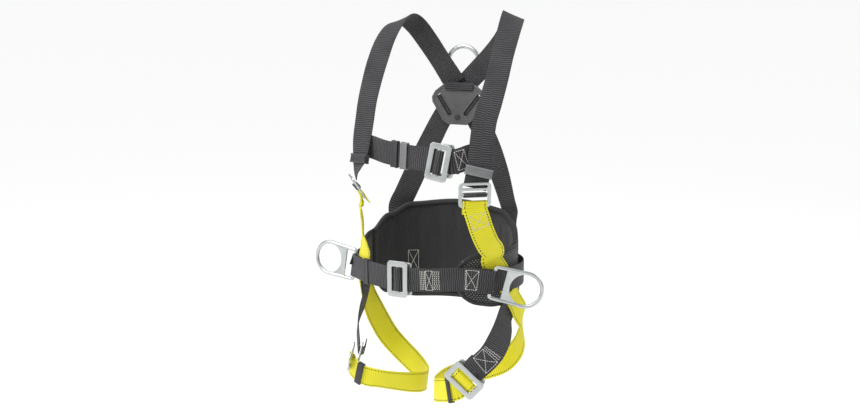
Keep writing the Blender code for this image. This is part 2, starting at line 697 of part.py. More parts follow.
def make_pads():
    offset = PAD_FACE
    columns = []
    first, last = LUMBAR_ANGLES
    for k in range(LUMBAR_STEPS + 1):
        angle = first + (last - first) * k / LUMBAR_STEPS
        folded = angle if angle <= 180 else 360 - angle
        columns.append((angle, offset, pad_edges(LUMBAR_BOTTOM, folded), pad_edges(LUMBAR_TOP, folded)))
    lumbar = add_object("lumbar_pad", pad_mesh("lumbar_pad", columns), "pad_fabric")
    thicken(lumbar, LUMBAR_PAD_THICKNESS, 1.0)
    for side, sign in (("left", 1), ("right", -1)):
        (first, last), top, bottom = SIDE_PADS[side]
        steps = round((last - first) / SIDE_PAD_STEP)
        columns = []
        for k in range(steps + 1):
            angle = first + (last - first) * k / steps
            columns.append((sign * angle, offset, pad_edges(bottom, angle), pad_edges(top, angle)))
        name = "side_pad_" + side
        mesh = pad_mesh(name, columns[::sign])
        thicken(add_object(name, mesh, "mesh_fabric"), SIDE_PAD_THICKNESS, 1.0)


def ring_fold(angle, place, side):
    """Stations for belt webbing that turns round a side ring's bar; side is +1 on the wearer's left."""
    bar, _, bar_direction = place
    bar_direction = bar_direction.normalized()
    along = waist_tangent(angle) * side
    backwards = (along - bar_direction * along.dot(bar_direction)).normalized()
    outward = backwards.cross(bar_direction) * side
    radius = SIDE_RING[0] + CLEARANCE + WEBBING_THICKNESS / 2
    return turn_round(bar, backwards, -outward, radius)


BELT_BACK_ANGLES = range(75, 285, 11)


def make_belt():
    left_fold = ring_fold(LEFT_RING_ANGLE, LEFT_RING, 1)
    right_fold = ring_fold(RIGHT_RING_ANGLE, RIGHT_RING, -1)
    webbing("belt_webbing_left", [
        *round_link_bar(*BELT_LINK, 18.0),
        on_waist(18, 0.0, 3),
        on_waist(29, 0.0, 5),
        on_waist(39, 0.0, 5),
        on_waist(46, 3.0, 3),
        *left_fold,
        on_waist(48, FOLDED_LAYER, 3, -1),
        on_waist(42, FOLDED_LAYER, 5, -1),
        on_waist(36, FOLDED_LAYER, 5, -1),
    ], "black_webbing", steps=2)
    front_right = [
        on_waist(-49, FOLDED_LAYER, -1, -1),
        on_waist(-55, FOLDED_LAYER, -2, -1),
        on_waist(-61, FOLDED_LAYER, -2, -1),
        *reversed(right_fold),
        on_waist(-58, 1.8, -2),
        on_waist(-50, 0.4, -1),
        on_waist(-38, 0.0, 0),
        on_waist(-25, 0.0, 0),
        *over_middle_bar(*BELT_PLATE),
    ]
    webbing("belt_webbing_right", front_right, "black_webbing", steps=2)
    back = [
        on_waist(59, -2.0, 2),
        on_waist(66, -0.8, 1),
        *(on_waist(angle, 0.0, 0.0) for angle in BELT_BACK_ANGLES),
    ]
    webbing("belt_webbing_back", back, "black_webbing", steps=2)
    keeper("belt_keeper", front_right, waist(-38), 14.0, "dark_nylon", opening=4.0, wall=1.4)


# ---------------------------------------------------------------- legs

def make_leg_straps():
    webbing("hip_strap_left", [
        on_waist(104, BLACK_LAYER, 4),
        on_waist(97, BLACK_LAYER, -12),
        on_waist(89, BLACK_LAYER, -32),
        on_waist(80, BLACK_LAYER, -54),
        (158.5, -46, -70, 0.93, -0.37, 0.0, 0.3),
        (163, -68, -87, 0.82, -0.56, 0.15),
        (165, -94, -105, 0.60, -0.75, 0.25),
        (158, -122, -129, 0.38, -0.88, 0.3),
        *reversed(round_link_bar(*LEFT_LEG_LINK, 20.0)),
    ], "black_webbing", steps=2)
    left = [
        on_waist(79, YELLOW_LAYER, -27),
        on_waist(83, YELLOW_LAYER, -42),
        (173, -12, -68, 0.94, -0.34, 0.0, 0.3),
        (173, 3, -98, 0.93, 0.34, 0.0),
        (166, 20, -130, 0.74, 0.66, -0.1),
        (150, 35, -162, 0.52, 0.82, -0.2),
        (121, 44, -193, 0.24, 0.92, -0.3),
        (82, 42, -212, 0.0, 0.93, -0.35),
        (45, 22, -220, -0.50, 0.80, -0.25),
        (24, -12, -224, -0.95, 0.25, -0.1),
        (20, -52, -226, -0.97, -0.22, 0.0),
        (34, -94, -220, -0.80, -0.58, 0.05),
        (60, -126, -208, -0.42, -0.88, 0.15),
        (83, -145, -198, -0.18, -0.95, 0.25),
        *over_middle_bar(*LEFT_LEG_PLATE),
    ]
    webbing("leg_strap_left", left, "yellow_webbing", steps=2)
    keeper("leg_keeper_left", left, (89, -148, -195), 9.0, "elastic", opening=7.0, wall=1.3)
    webbing("hip_strap_right", [
        on_waist(-102, BLACK_LAYER, 4),
        on_waist(-97, BLACK_LAYER, -8),
        on_waist(-92, BLACK_LAYER, -24),
        on_waist(-87, BLACK_LAYER, -49),
        (-149.5, -29, -77, -0.94, -0.34, 0.0),
        (-147, -52, -99, -0.92, -0.37, 0.1),
        (-142, -72, -122, -0.90, -0.38, 0.2),
        *reversed(round_link_bar(*RIGHT_LEG_LINK, 14.0)),
    ], "black_webbing", steps=2)
    right = [
        on_waist(-79, YELLOW_LAYER, -22),
        on_waist(-86, YELLOW_LAYER, -40),
        (-160, 2, -70, -0.99, 0.1, 0.0, 0.5),
        (-155, 12, -98, -0.92, 0.38, 0.0),
        (-148, 28, -132, -0.72, 0.66, -0.1),
        (-134, 42, -168, -0.50, 0.82, -0.2),
        (-110, 48, -196, -0.22, 0.92, -0.3),
        (-80, 42, -216, 0.05, 0.93, -0.35),
        (-46, 18, -226, 0.50, 0.80, -0.25),
        (-18, -14, -228, 0.90, 0.35, -0.1),
        (-10, -50, -224, 0.98, -0.15, -0.2),
        (-19, -84, -216, 0.82, -0.50, -0.3),
        (-40, -114, -207, 0.45, -0.82, -0.35),
        (-66, -134, -200, 0.10, -0.92, -0.30),
        (-90, -140, -196.5, -0.26, -0.94, -0.15),
        (-109, -138.5, -190, -0.62, -0.78, 0.0),
        *over_middle_bar(*RIGHT_LEG_PLATE)[1:],
    ]
    webbing("leg_strap_right", right, "yellow_webbing", steps=2)
    keeper("leg_keeper_right", right, (-101, -139, -193), 9.0, "elastic", opening=7.0, wall=1.3)


def build():
    clear_scene()
    new_collection(PART_NAME)
    new_collection("cutters")
    make_rings()
    make_dorsal_plate()
    make_upper_webbing()
    make_buckles()
    make_chest_strap()
    make_torso_straps()
    make_pads()
    make_belt()
    make_leg_straps()


build()
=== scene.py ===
# %% [markdown]
# # A full-body safety harness
# A fall-arrest harness is a set of woven straps sewn and threaded round a body, with a padded
# work-positioning belt. This lesson dresses a finished measured model with woven webbing, sewing
# thread, padded foam, zinc-plated buckles and moulded nylon. The measured model is loaded first and
# never moved: every new piece is drawn in the same frame and stands for one of its parts.
# %% Load the measured model
import functools
import json
import math

import bmesh
import bpy
from mathutils import Matrix, Vector

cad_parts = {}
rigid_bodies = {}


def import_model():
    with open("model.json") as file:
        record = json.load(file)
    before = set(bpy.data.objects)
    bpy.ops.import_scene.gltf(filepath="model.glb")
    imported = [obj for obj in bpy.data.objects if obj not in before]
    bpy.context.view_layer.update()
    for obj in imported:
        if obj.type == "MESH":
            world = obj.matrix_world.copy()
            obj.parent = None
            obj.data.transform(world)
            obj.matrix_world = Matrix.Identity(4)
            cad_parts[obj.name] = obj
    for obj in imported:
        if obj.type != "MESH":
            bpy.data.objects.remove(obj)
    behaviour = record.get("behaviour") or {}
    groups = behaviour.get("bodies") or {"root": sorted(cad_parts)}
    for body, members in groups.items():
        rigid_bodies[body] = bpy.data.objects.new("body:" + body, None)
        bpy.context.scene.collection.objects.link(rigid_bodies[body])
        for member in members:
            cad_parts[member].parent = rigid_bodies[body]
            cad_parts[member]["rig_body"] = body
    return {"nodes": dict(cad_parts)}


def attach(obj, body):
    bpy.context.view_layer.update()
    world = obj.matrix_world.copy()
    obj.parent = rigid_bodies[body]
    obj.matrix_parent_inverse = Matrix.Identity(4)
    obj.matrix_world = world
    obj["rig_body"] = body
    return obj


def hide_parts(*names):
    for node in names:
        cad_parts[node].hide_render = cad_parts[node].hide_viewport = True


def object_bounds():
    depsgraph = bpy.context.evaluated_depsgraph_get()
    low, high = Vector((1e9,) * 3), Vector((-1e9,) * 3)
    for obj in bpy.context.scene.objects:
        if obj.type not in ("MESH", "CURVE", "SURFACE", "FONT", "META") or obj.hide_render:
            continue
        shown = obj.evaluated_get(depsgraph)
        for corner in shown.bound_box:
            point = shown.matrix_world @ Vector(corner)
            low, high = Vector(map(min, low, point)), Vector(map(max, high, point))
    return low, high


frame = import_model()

measured_box = [list(corner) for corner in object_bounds()]
print("measured model, mm:", [round((b - a) * 1000) for a, b in zip(*measured_box)])

# %% [markdown]
# ## The frame in which straps are drawn
# Strap makers think in millimetres from the wearer's waist, so the shapes below do too: the wearer
# faces -Y, the wearer's left is +X, and zero is the middle of the waist at the belt. The model's own
# origin is where a hook pulls on the dorsal ring, so one small function moves a point across.
# %% Measures of the straps and of the waist
MM = 0.001
UP = Vector((0.0, 0.0, 1.0))
WEBBING_WIDTH = 44.0
WEBBING_THICKNESS = 2.0
CLEARANCE = 0.6
HANG_POINT = Vector((0.0, 116.0, 412.0))
# The waist loop, seen from above, is half an ellipse on each side of the middle
WAIST_LEFT = 172.0
WAIST_RIGHT = 163.0
WAIST_HALF_DEPTH = 127.0
WAIST_CENTRE_Y = -10.0

# Layers under the belt webbing, as offsets of their middles from the waist loop
FOLDED_LAYER = -2.6
YELLOW_LAYER = -5.2
BLACK_LAYER = -7.8
PAD_FACE = -9.8
SIDE_PAD_THICKNESS = 7.0
LUMBAR_PAD_THICKNESS = 12.0


def to_model(point):
    """A point in body millimetres becomes one in the model's metres."""
    return (Vector(point) - HANG_POINT) * MM


def axes(along, up):
    """Turn whose X runs along one direction, whose Y is nearly the other, and whose Z looks outwards."""
    x = Vector(along).normalized()
    z = x.cross(Vector(up)).normalized()
    return Matrix((x, z.cross(x), z)).transposed()

# %% [markdown]
# ## Following the waist
# The belt, the pads and the straps under the belt all bend round the waist, which is drawn as half an
# ellipse on each side. A strap could be bent with a Curve modifier, but several straps lie in layers
# here, so it is safer to work out where each layer is from one shared rule.
# %% Places on the waist
def waist_half_width(turn):
    return WAIST_LEFT if math.sin(turn) >= 0.0 else WAIST_RIGHT


def waist(angle, offset=0.0, z=0.0):
    """Point of the waist loop: angle 0 is the front, 90 the wearer's left, 180 the back."""
    turn = math.radians(angle)
    x = (waist_half_width(turn) + offset) * math.sin(turn)
    y = WAIST_CENTRE_Y - (WAIST_HALF_DEPTH + offset) * math.cos(turn)
    return Vector((x, y, z))


def waist_tangent(angle):
    """Direction of growing angle along the waist loop."""
    turn = math.radians(angle)
    return Vector((waist_half_width(turn) * math.cos(turn), WAIST_HALF_DEPTH * math.sin(turn), 0.0)).normalized()


def waist_normal(angle):
    """Direction straight out of the waist loop."""
    return waist_tangent(angle).cross(UP)


def on_waist(angle, offset, z, side=1.0):
    """A route station on the waist loop; side -1 turns the webbing's outer face inwards."""
    return (*waist(angle, offset, z), *(waist_normal(angle) * side), 1.0)


def waist_place(point):
    """Angle and offset of a body-frame point on the waist loop."""
    offset = 0.0
    for _ in range(6):
        side = math.atan2(point.x, 1.0)
        wide, deep = waist_half_width(side) + offset, WAIST_HALF_DEPTH + offset
        turn = math.atan2(point.x / wide, (WAIST_CENTRE_Y - point.y) / deep)
        reached = math.hypot(wide * math.sin(turn), deep * math.cos(turn))
        offset += math.hypot(point.x, point.y - WAIST_CENTRE_Y) - reached
    return math.degrees(turn), offset


def hug_waist(point, offset, share):
    """Draw a point of some webbing towards the waist loop's surface at this offset."""
    if share <= 0.0:
        return point
    angle, _ = waist_place(point)
    return point.lerp(waist(angle, offset, point.z), share)

# %% [markdown]
# ## A smooth route for a strap
# A strap is flat: it bends easily through its thickness and hardly at all across its width. So each
# route is a short list of stations, and a station says where the strap is and which way its outer face
# looks. A Catmull-Rom curve goes through all of them, and the strap is then measured along its length,
# because the weave and the sewing are both laid out by length.
# %% Smooth routes, measured along their length
def catmull_rom(p0, p1, p2, p3, t):
    slope = (p2 - p0) * t
    bend = (2 * p0 - 5 * p1 + 4 * p2 - p3) * t ** 2
    return 0.5 * (2 * p1 + slope + bend + (3 * p1 - p0 - 3 * p2 + p3) * t ** 3)


def smooth_route(stations, steps):
    """Points, outward directions, shares of waist curvature and waist offsets along a smooth curve."""
    points = [Vector(s[:3]) for s in stations]
    faces = [Vector(s[3:6]).normalized() for s in stations]
    hugs = [(s[6] if len(s) > 6 else 0.0, waist_place(Vector(s[:3]))[1]) for s in stations]
    points = [2 * points[0] - points[1], *points, 2 * points[-1] - points[-2]]
    faces = [faces[0], *faces, faces[-1]]
    route = []
    for i in range(1, len(points) - 2):
        (share, offset), (next_share, next_offset) = hugs[i - 1:i + 1]
        for step in range(steps):
            t = step / steps
            point = catmull_rom(*points[i - 1:i + 3], t)
            face = catmull_rom(*faces[i - 1:i + 3], t)
            route.append((point, face, share + (next_share - share) * t, offset + (next_offset - offset) * t))
    return [*route, (points[-2], faces[-2], *hugs[-1])]


def turn_round(bar, outward, inner_side, radius, first_angle=0.0, last_angle=180.0, steps=6):
    """Stations for webbing that turns round a bar: outward points past the bar, inner_side at one leg."""
    stations = []
    for step in range(steps + 1):
        angle = math.radians(first_angle + (last_angle - first_angle) * step / steps)
        face = -Vector(inner_side) * math.cos(angle) + Vector(outward) * math.sin(angle)
        stations.append((*(Vector(bar) + face * radius), *face))
    return stations


ROUTE_STEPS = 10


def lay_out(stations, width=WEBBING_WIDTH):
    """A strap ready to be woven or sewn: points every few millimetres with their distance along it."""
    route = smooth_route(stations, ROUTE_STEPS)
    rows, reached = [], 0.0
    for i, (point, face, share, offset) in enumerate(route):
        before, after = route[max(i - 1, 0)][0], route[min(i + 1, len(route) - 1)][0]
        if i:
            reached += (point - before).length
        across = (after - before).cross(face).normalized()
        rows.append((reached, point, across, across.cross(after - before).normalized(), share, offset))
    return {"rows": rows, "length": reached, "width": width}


def on_strap(strap, along, across, height=0.0):
    """The body point at a distance along a strap, across it from its middle, and above its middle layer."""
    rows = strap["rows"]
    along = min(max(along, 0.0), strap["length"])
    low, high = 0, len(rows) - 1
    while high - low > 1:
        middle = (low + high) // 2
        low, high = (middle, high) if rows[middle][0] <= along else (low, middle)
    first, last = rows[low], rows[high]
    t = (along - first[0]) / max(last[0] - first[0], 1e-6)
    point, side, out = (first[k].lerp(last[k], t) for k in (1, 2, 3))
    share, offset = (first[k] + (last[k] - first[k]) * t for k in (4, 5))
    return hug_waist(point + side * across, offset, share) + out * height


def nearest(strap, place):
    """How far along a strap its nearest point to a body place is."""
    return min(strap["rows"], key=lambda row: (row[1] - Vector(place)).length)[0]

# %% [markdown]
# ## Nodes and colours
# Every finish here is procedural. One function adds a node of any kind, with its settings and links, and
# gives back its output. Another turns the hex colours on a maker's card into the linear values that a
# shader works with. Values that are the same all over a piece go straight onto the shader's sockets.
# %% Colours, nodes and finishes
def paint(code):
    """An sRGB hex colour as the linear colour that shaders use."""
    channels = [int(code[i:i + 2], 16) / 255 for i in (1, 3, 5)]
    linear = [c / 12.92 if c <= 0.04045 else ((c + 0.055) / 1.055) ** 2.4 for c in channels]
    return (*linear, 1.0)


def add_node(tree, kind, inputs=(), out=0, **settings):
    """An output of a new node; its inputs, in order or by name, are values or other nodes' outputs."""
    made = tree.nodes.new("ShaderNode" + kind)
    for key, value in settings.items():
        setattr(made, key, value)
    for key, value in inputs.items() if isinstance(inputs, dict) else enumerate(inputs):
        if isinstance(value, bpy.types.NodeSocket):
            tree.links.new(value, made.inputs[key])
        else:
            made.inputs[key].default_value = value
    return made.outputs[out]


def new_finish(name, roughness, metallic=0.0, ior=1.5, **more):
    """A material with its constant values, and a function that adds nodes to it."""
    finish = bpy.data.materials.new(name)
    finish.use_nodes = True
    shader = finish.node_tree.nodes["Principled BSDF"]
    for key, value in {"Metallic": metallic, "Roughness": roughness, "IOR": ior, **more}.items():
        shader.inputs[key.replace("_", " ")].default_value = value
    return finish, functools.partial(add_node, finish.node_tree)


def surface(finish, colour, height, depth, strength=1.0, roughness=None):
    """Join a colour, a height pattern raised by so many metres and a roughness pattern to the shader."""
    tree = finish.node_tree
    bump = add_node(tree, "Bump", {"Strength": strength, "Distance": depth, "Height": height})
    for socket, pattern in (("Base Color", colour), ("Normal", bump), ("Roughness", roughness)):
        if pattern is not None:
            tree.links.new(pattern, tree.nodes["Principled BSDF"].inputs[socket])
    return finish


print("safety yellow, linear:", [round(channel, 3) for channel in paint("#F3EB20")[:3]])

# %% [markdown]
# ## Polyester webbing
# Harness webbing is woven from bright polyester yarn, dyed black or safety yellow. The face shows ribs
# across the strap, which meet at its middle line half a rib apart, and finer yarns along it. The real
# ribs are about 2 mm apart; they are drawn 4.1 mm apart here, so that they still show from two metres.
# The pattern reads the strap's own UV map, which holds metres along and across, so it follows each bend. Its
# colour puts painted shade in the rib valleys and a painted highlight on the crests.
# %% Woven webbing, black and yellow
RIB_SPACING = 0.0041
YARN_SPACING = 0.0011
TRACER_PLACE = 0.0183
TRACER_HALF_WIDTH = 0.0009
TRACER_SPACING = 0.0052


def woven(name, shaded_valley, lit_ridge, rib_depth, tracer=None):
    """Ribbed polyester webbing, with painted shade in the rib valleys and a painted highlight on the crests;
    tracer is the colour of the dashed yarn near both edges, if it has one.
    """
    finish, node = new_finish(name, 0.66, Sheen_Weight=0.08, Sheen_Roughness=0.5)
    place = node("UVMap", uv_map="strap")
    along, across = node("SeparateXYZ", [place]), node("SeparateXYZ", [place], 1)
    noise = node("TexNoise", {"Vector": place, "Scale": 160.0, "Detail": 3.0}, noise_dimensions="2D")
    half = node("Math", [across, 0.0], operation="GREATER_THAN")
    shift = node("Math", [half, math.pi], operation="MULTIPLY")
    turns = node("Math", [along, 2 * math.pi / RIB_SPACING, shift], operation="MULTIPLY_ADD")
    wander = node("Math", [noise, 1.4, turns], operation="MULTIPLY_ADD")
    wave = node("Math", [wander], operation="SINE")
    ribs = node("Math", [wave, 0.5, 0.5], operation="MULTIPLY_ADD")
    threads = node("Math", [across, 2 * math.pi / YARN_SPACING], operation="MULTIPLY")
    yarns = node("Math", [threads], operation="SINE")
    height = node("Math", [yarns, 0.18, ribs], operation="MULTIPLY_ADD")
    patch = node("TexNoise", {"Vector": place, "Scale": 22.0, "Detail": 2.0}, noise_dimensions="2D")
    crown = node("Math", [ribs, 1.7], operation="POWER")
    # Each rib's crest is painted lighter and its valley darker: a painted highlight and painted shade on top of
    # the bump.
    wear = node("Math", [patch, 0.45], operation="ADD")
    lightness = node("Math", [crown, wear], operation="MULTIPLY", use_clamp=True)
    colour = node("Mix", {0: lightness, 6: paint(shaded_valley), 7: paint(lit_ridge)}, 2, data_type="RGBA")
    if tracer:
        from_middle = node("Math", [across], operation="ABSOLUTE")
        lines = node("Math", [from_middle, TRACER_PLACE, TRACER_HALF_WIDTH], operation="COMPARE")
        steps = node("Math", [along, 1 / TRACER_SPACING], operation="MULTIPLY")
        phase = node("Math", [steps], operation="FRACT")
        dashes = node("Math", [phase, 0.42], operation="GREATER_THAN")
        marks = node("Math", [lines, dashes], operation="MULTIPLY")
        colour = node("Mix", {0: marks, 6: colour, 7: paint(tracer)}, 2, data_type="RGBA")
    return surface(finish, colour, height, rib_depth)


# Each woven finish takes the painted-shade colour of its rib valleys, then the painted-highlight colour of its
# crests.
BLACK_WEBBING = woven("black ribbed polyester webbing", "#0F0E10", "#525155", 0.0007)
YELLOW_WEBBING = woven("yellow polyester webbing with dark tracers", "#DAD112", "#F3EB20", 0.00011, "#3A3820")
print("webbing finishes:", BLACK_WEBBING.name, "|", YELLOW_WEBBING.name)

# %% [markdown]
# ## New pieces and what they ride on
# Each new piece keeps its object at the origin and has its place in its mesh, as the measured parts do. Most
# stand for a measured part, which they hide; thread, tape and rims are extras that only ride along.
# %% Functions that finish a piece
def new_piece(name, bm, finish, smooth_under=40.0):
    """A bmesh in the model's metres becomes an object, smooth apart from its real corners."""
    mesh = bpy.data.meshes.new(name)
    bm.to_mesh(mesh)
    bm.free()
    mesh.shade_smooth()
    mesh.set_sharp_from_angle(angle=math.radians(smooth_under))
    mesh.materials.append(finish)
    piece = bpy.data.objects.new(name, mesh)
    bpy.context.scene.collection.objects.link(piece)
    return piece


def stand_for(piece, node):
    """The piece rides where its measured part rides, and hides it."""
    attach(piece, frame["nodes"][node]["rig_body"])
    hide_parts(node)
    return piece


def add_extra(piece):
    """The piece rides on the harness itself and stands for no measured part."""
    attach(piece, "root")
    return piece


print("measured parts to dress:", len(frame["nodes"]))

# %% [markdown]
# ## Weaving a strap
# A strap could be a curve with a flat bevel, but a curve twists where it likes. Here a grid is created
# flat with its UV map in metres, each of its points is moved to its place on the route, and a Solidify
# and a small Bevel give it the thickness and rounded edges of real webbing.
# %% Functions that weave straps
STRAP_STEP = 2.5
STRAP_COLUMNS = 6
SELVEDGE = 0.6
straps = {}


def weave(name, strap, finish):
    """Webbing in the shape of a laid-out strap."""
    bm = bmesh.new()
    uv = bm.loops.layers.uv.new("strap")
    rows = max(4, round(strap["length"] / STRAP_STEP))
    bmesh.ops.create_grid(bm, x_segments=rows, y_segments=STRAP_COLUMNS, size=1.0)
    flat = {v: ((v.co.x + 1) / 2 * strap["length"], v.co.y * strap["width"] / 2) for v in bm.verts}
    for face in bm.faces:
        for loop in face.loops:
            loop[uv].uv = Vector(flat[loop.vert]) * MM
    for vert, (along, across) in flat.items():
        vert.co = to_model(on_strap(strap, along, across))
    piece = new_piece(name, bm, finish)
    wall = piece.modifiers.new("thickness", "SOLIDIFY")
    wall.thickness = WEBBING_THICKNESS * MM
    wall.offset = 0.0
    edge = piece.modifiers.new("rounded selvedge", "BEVEL")
    edge.width = SELVEDGE * MM
    edge.segments = 2
    edge.angle_limit = math.radians(60)
    return piece


def weave_straps(routes, width=WEBBING_WIDTH):
    """Lay out and weave the straps that stand for measured parts; leg and torso straps are yellow."""
    for node, stations in routes.items():
        yellow = node.startswith(("leg_strap", "torso_strap"))
        slot, finish = ("yellow_webbing", YELLOW_WEBBING) if yellow else ("black_webbing", BLACK_WEBBING)
        straps[node] = lay_out(stations, width)
        stand_for(weave(node + "_webbing", straps[node], finish), node)
        print(node, round(straps[node]["length"]), "mm")


print("webbing is", WEBBING_WIDTH, "mm wide and", WEBBING_THICKNESS, "mm thick")

# %% [markdown]
# ## Sewing thread
# Bonded polyester thread holds each lap of webbing: a box with a cross in it, rows of straight bars and
# wide zigzags. Each stitch is one short raised bead, so it is a small sphere of a few dozen faces,
# pressed flat and laid along the seam. The real thread is 0.9 mm thick, and it is drawn 1.3 mm wide.
# %% Thread and stitches
STITCH_LENGTH = 4.0
STITCH_WIDTH = 1.3
STITCH_HEIGHT = 0.9
STITCH_GAP = 0.06
THREAD_LIFT = 0.15


def thread_finish():
    """Bonded polyester thread: off-white and slightly shiny, with the mottle of its twist."""
    finish, node = new_finish("bonded polyester thread", 0.55, Sheen_Weight=0.2)
    place = node("TexCoord", out="Object")
    twist = node("TexNoise", {"Vector": place, "Scale": 900.0, "Detail": 1.0})
    colour = node("Mix", {0: twist, 6: paint("#A9A69F"), 7: paint("#F1EEE8")}, 2, data_type="RGBA")
    return surface(finish, colour, twist, 0.0001)


THREAD = thread_finish()


def sew(name, strap, middle, *patterns):
    """One piece of stitches on a strap; patterns are seams of (along, across) points from its middle."""
    bm = bmesh.new()
    height = WEBBING_THICKNESS / 2 + THREAD_LIFT
    pairs = [pair for pattern in patterns for seam in pattern for pair in zip(seam, seam[1:])]
    for (a0, c0), (a1, c1) in pairs:
        count = max(1, round(math.hypot(a1 - a0, c1 - c0) / STITCH_LENGTH))
        first = middle + a0
        out = (on_strap(strap, first, c0, height + 1.0) - on_strap(strap, first, c0, height)).normalized()
        for k in range(count):
            start, end = (on_strap(strap, first + (a1 - a0) * t, c0 + (c1 - c0) * t, height)
                          for t in ((k + STITCH_GAP) / count, (k + 1 - STITCH_GAP) / count))
            along = (end - start).normalized()
            across = out.cross(along).normalized()
            turn = Matrix((across, along.cross(across), along)).transposed().to_4x4()
            halves = (STITCH_WIDTH / 2, STITCH_HEIGHT / 2, (end - start).length / 2)
            size = Matrix.Diagonal((*halves, 1.0 / MM)) * MM
            bead = Matrix.Translation(to_model((start + end) / 2)) @ turn @ size
            bmesh.ops.create_uvsphere(bm, u_segments=6, v_segments=5, radius=1.0, matrix=bead)
    piece = add_extra(new_piece(name, bm, THREAD, 180.0))
    print(name, len(piece.data.polygons), "faces")


print("thread finish:", THREAD.name)

# %% [markdown]
# ## Stitch patterns
# An inspector counts these patterns, so each is laid out in millimetres along and across a strap, from
# the middle of the lap. The seams stop 4 mm short of the webbing's edges.
# %% Functions for the patterns
SEAM_REACH = 18.0
ZIGZAG_WIDTH = 2.6
ZIGZAG_TEETH = 9


def box_and_cross(start, end, reach=SEAM_REACH):
    """A sewn box from start to end along a strap, with its diagonals."""
    box = [(start, -reach), (end, -reach), (end, reach), (start, reach), (start, -reach)]
    return [box, [(start, -reach), (end, reach)], [(start, reach), (end, -reach)]]


def evenly(start, end, count):
    """Evenly spaced numbers from start to end, or only start."""
    return [start + (end - start) * k / max(count - 1, 1) for k in range(count)]


def bars(start, end, count):
    """Straight rows across a strap."""
    return [[(place, -SEAM_REACH), (place, SEAM_REACH)] for place in evenly(start, end, count)]


def zigzags(start, end, count):
    """Zigzag rows across a strap."""
    return [[(place + ZIGZAG_WIDTH * (k % 2 - 0.5), across)
             for k, across in enumerate(evenly(-SEAM_REACH, SEAM_REACH, ZIGZAG_TEETH + 1))]
            for place in evenly(start, end, count)]


print("a crossed box has", sum(len(seam) - 1 for seam in box_and_cross(-10.0, 10.0)), "seams")

# %% [markdown]
# ## Shoulder and back straps
# Each shoulder strap climbs from its adjuster, goes over the shoulder, and crosses the other one at the
# dorsal plate in the middle of the back. The twist over the shoulder needs stations close together,
# because there the outer face turns from the chest to the back in the width of a hand.
# %% Stations of the shoulder and back straps
SHOULDER_RIGHT = [
    (-118.5, -113.5, 178.5, -0.70, -0.58, -0.42),
    (-119.5, -108.5, 192, -0.68, -0.70, -0.2),
    (-118, -101, 214, -0.48, -0.88, 0.0),
    (-116, -96, 248, -0.26, -0.97, 0.0),
    (-114, -88, 284, -0.18, -0.98, 0.1),
    (-115, -74, 320, -0.14, -0.97, 0.2),
    (-116, -52, 358, -0.07, -0.90, 0.4),
    (-117, -25, 396, 0.00, -0.78, 0.6),
    (-117, 6, 432, -0.06, -0.65, 0.75),
    (-113, 38, 459, -0.18, -0.42, 0.88),
    (-104, 68, 470, -0.42, 0.10, 0.88),
    (-91, 90, 456, -0.40, 0.70, 0.55),
    (-69, 100, 424, -0.15, 0.95, 0.2),
    (-45, 105, 388, 0.0, 0.99, 0.1),
    (-12, 103, 343, 0.0, 0.985, -0.17),
]
SHOULDER_LEFT = [
    (125, -121, 177.5, 0.60, -0.79, -0.08),
    (128, -117.5, 194, 0.48, -0.87, 0.0),
    (131, -112, 217, 0.36, -0.93, 0.0),
    (132, -107, 255, 0.24, -0.96, 0.05),
    (134, -98, 295, 0.15, -0.97, 0.15),
    (139, -84, 329, 0.10, -0.95, 0.25),
    (141, -60, 368, 0.05, -0.87, 0.45),
    (140, -35, 404, 0.04, -0.76, 0.62),
    (138, -4, 440, 0.12, -0.60, 0.78),
    (134, 26, 466, 0.25, -0.42, 0.87),
    (128, 54, 479, 0.40, 0.05, 0.90),
    (115, 78, 461, 0.40, 0.62, 0.62),
    (91, 96, 428, 0.20, 0.93, 0.3),
    (61, 107, 396, 0.0, 0.99, 0.1),
    (34, 110, 370, 0.0, 0.99, -0.05),
    (12, 107.5, 347, 0.0, 0.985, -0.17),
]
BACK_LEFT = [
    (-6, 101.6, 335, 0.0, 0.985, -0.17),
    (16, 97.0, 308, 0.0, 0.985, -0.17),
    (40, 91.5, 276, 0.0, 0.985, -0.17),
    (58, 89.0, 247, 0.05, 0.99, 0.0),
    (74, 90.0, 212, 0.10, 0.99, 0.0),
    (89, 92.5, 168, 0.20, 0.97, 0.0),
    (102, 95.5, 122, 0.40, 0.90, 0.0),
    (112, 93.5, 90, 0.45, 0.88, 0.0),
    on_waist(132, BLACK_LAYER + 1.0, 55),
    on_waist(125, BLACK_LAYER, 26),
]
BACK_RIGHT = [
    (6, 105.0, 339, 0.0, 0.985, -0.17),
    (-18, 100.0, 306, 0.0, 0.985, -0.17),
    (-40, 94.5, 270, 0.0, 0.985, -0.17),
    (-58, 92.0, 235, -0.05, 0.99, 0.0),
    (-79, 92.0, 196, -0.10, 0.99, 0.0),
    (-99, 92.5, 156, -0.25, 0.96, 0.0),
    (-117, 90.5, 118, -0.45, 0.88, 0.0),
    (-128, 84.0, 90, -0.55, 0.83, 0.0),
    on_waist(-130, BLACK_LAYER + 1.0, 55),
    on_waist(-121, BLACK_LAYER, 24),
]

# %% Weave the upper straps
weave_straps({"shoulder_strap_right": SHOULDER_RIGHT, "shoulder_strap_left": SHOULDER_LEFT,
              "back_strap_right": BACK_RIGHT, "back_strap_left": BACK_LEFT})

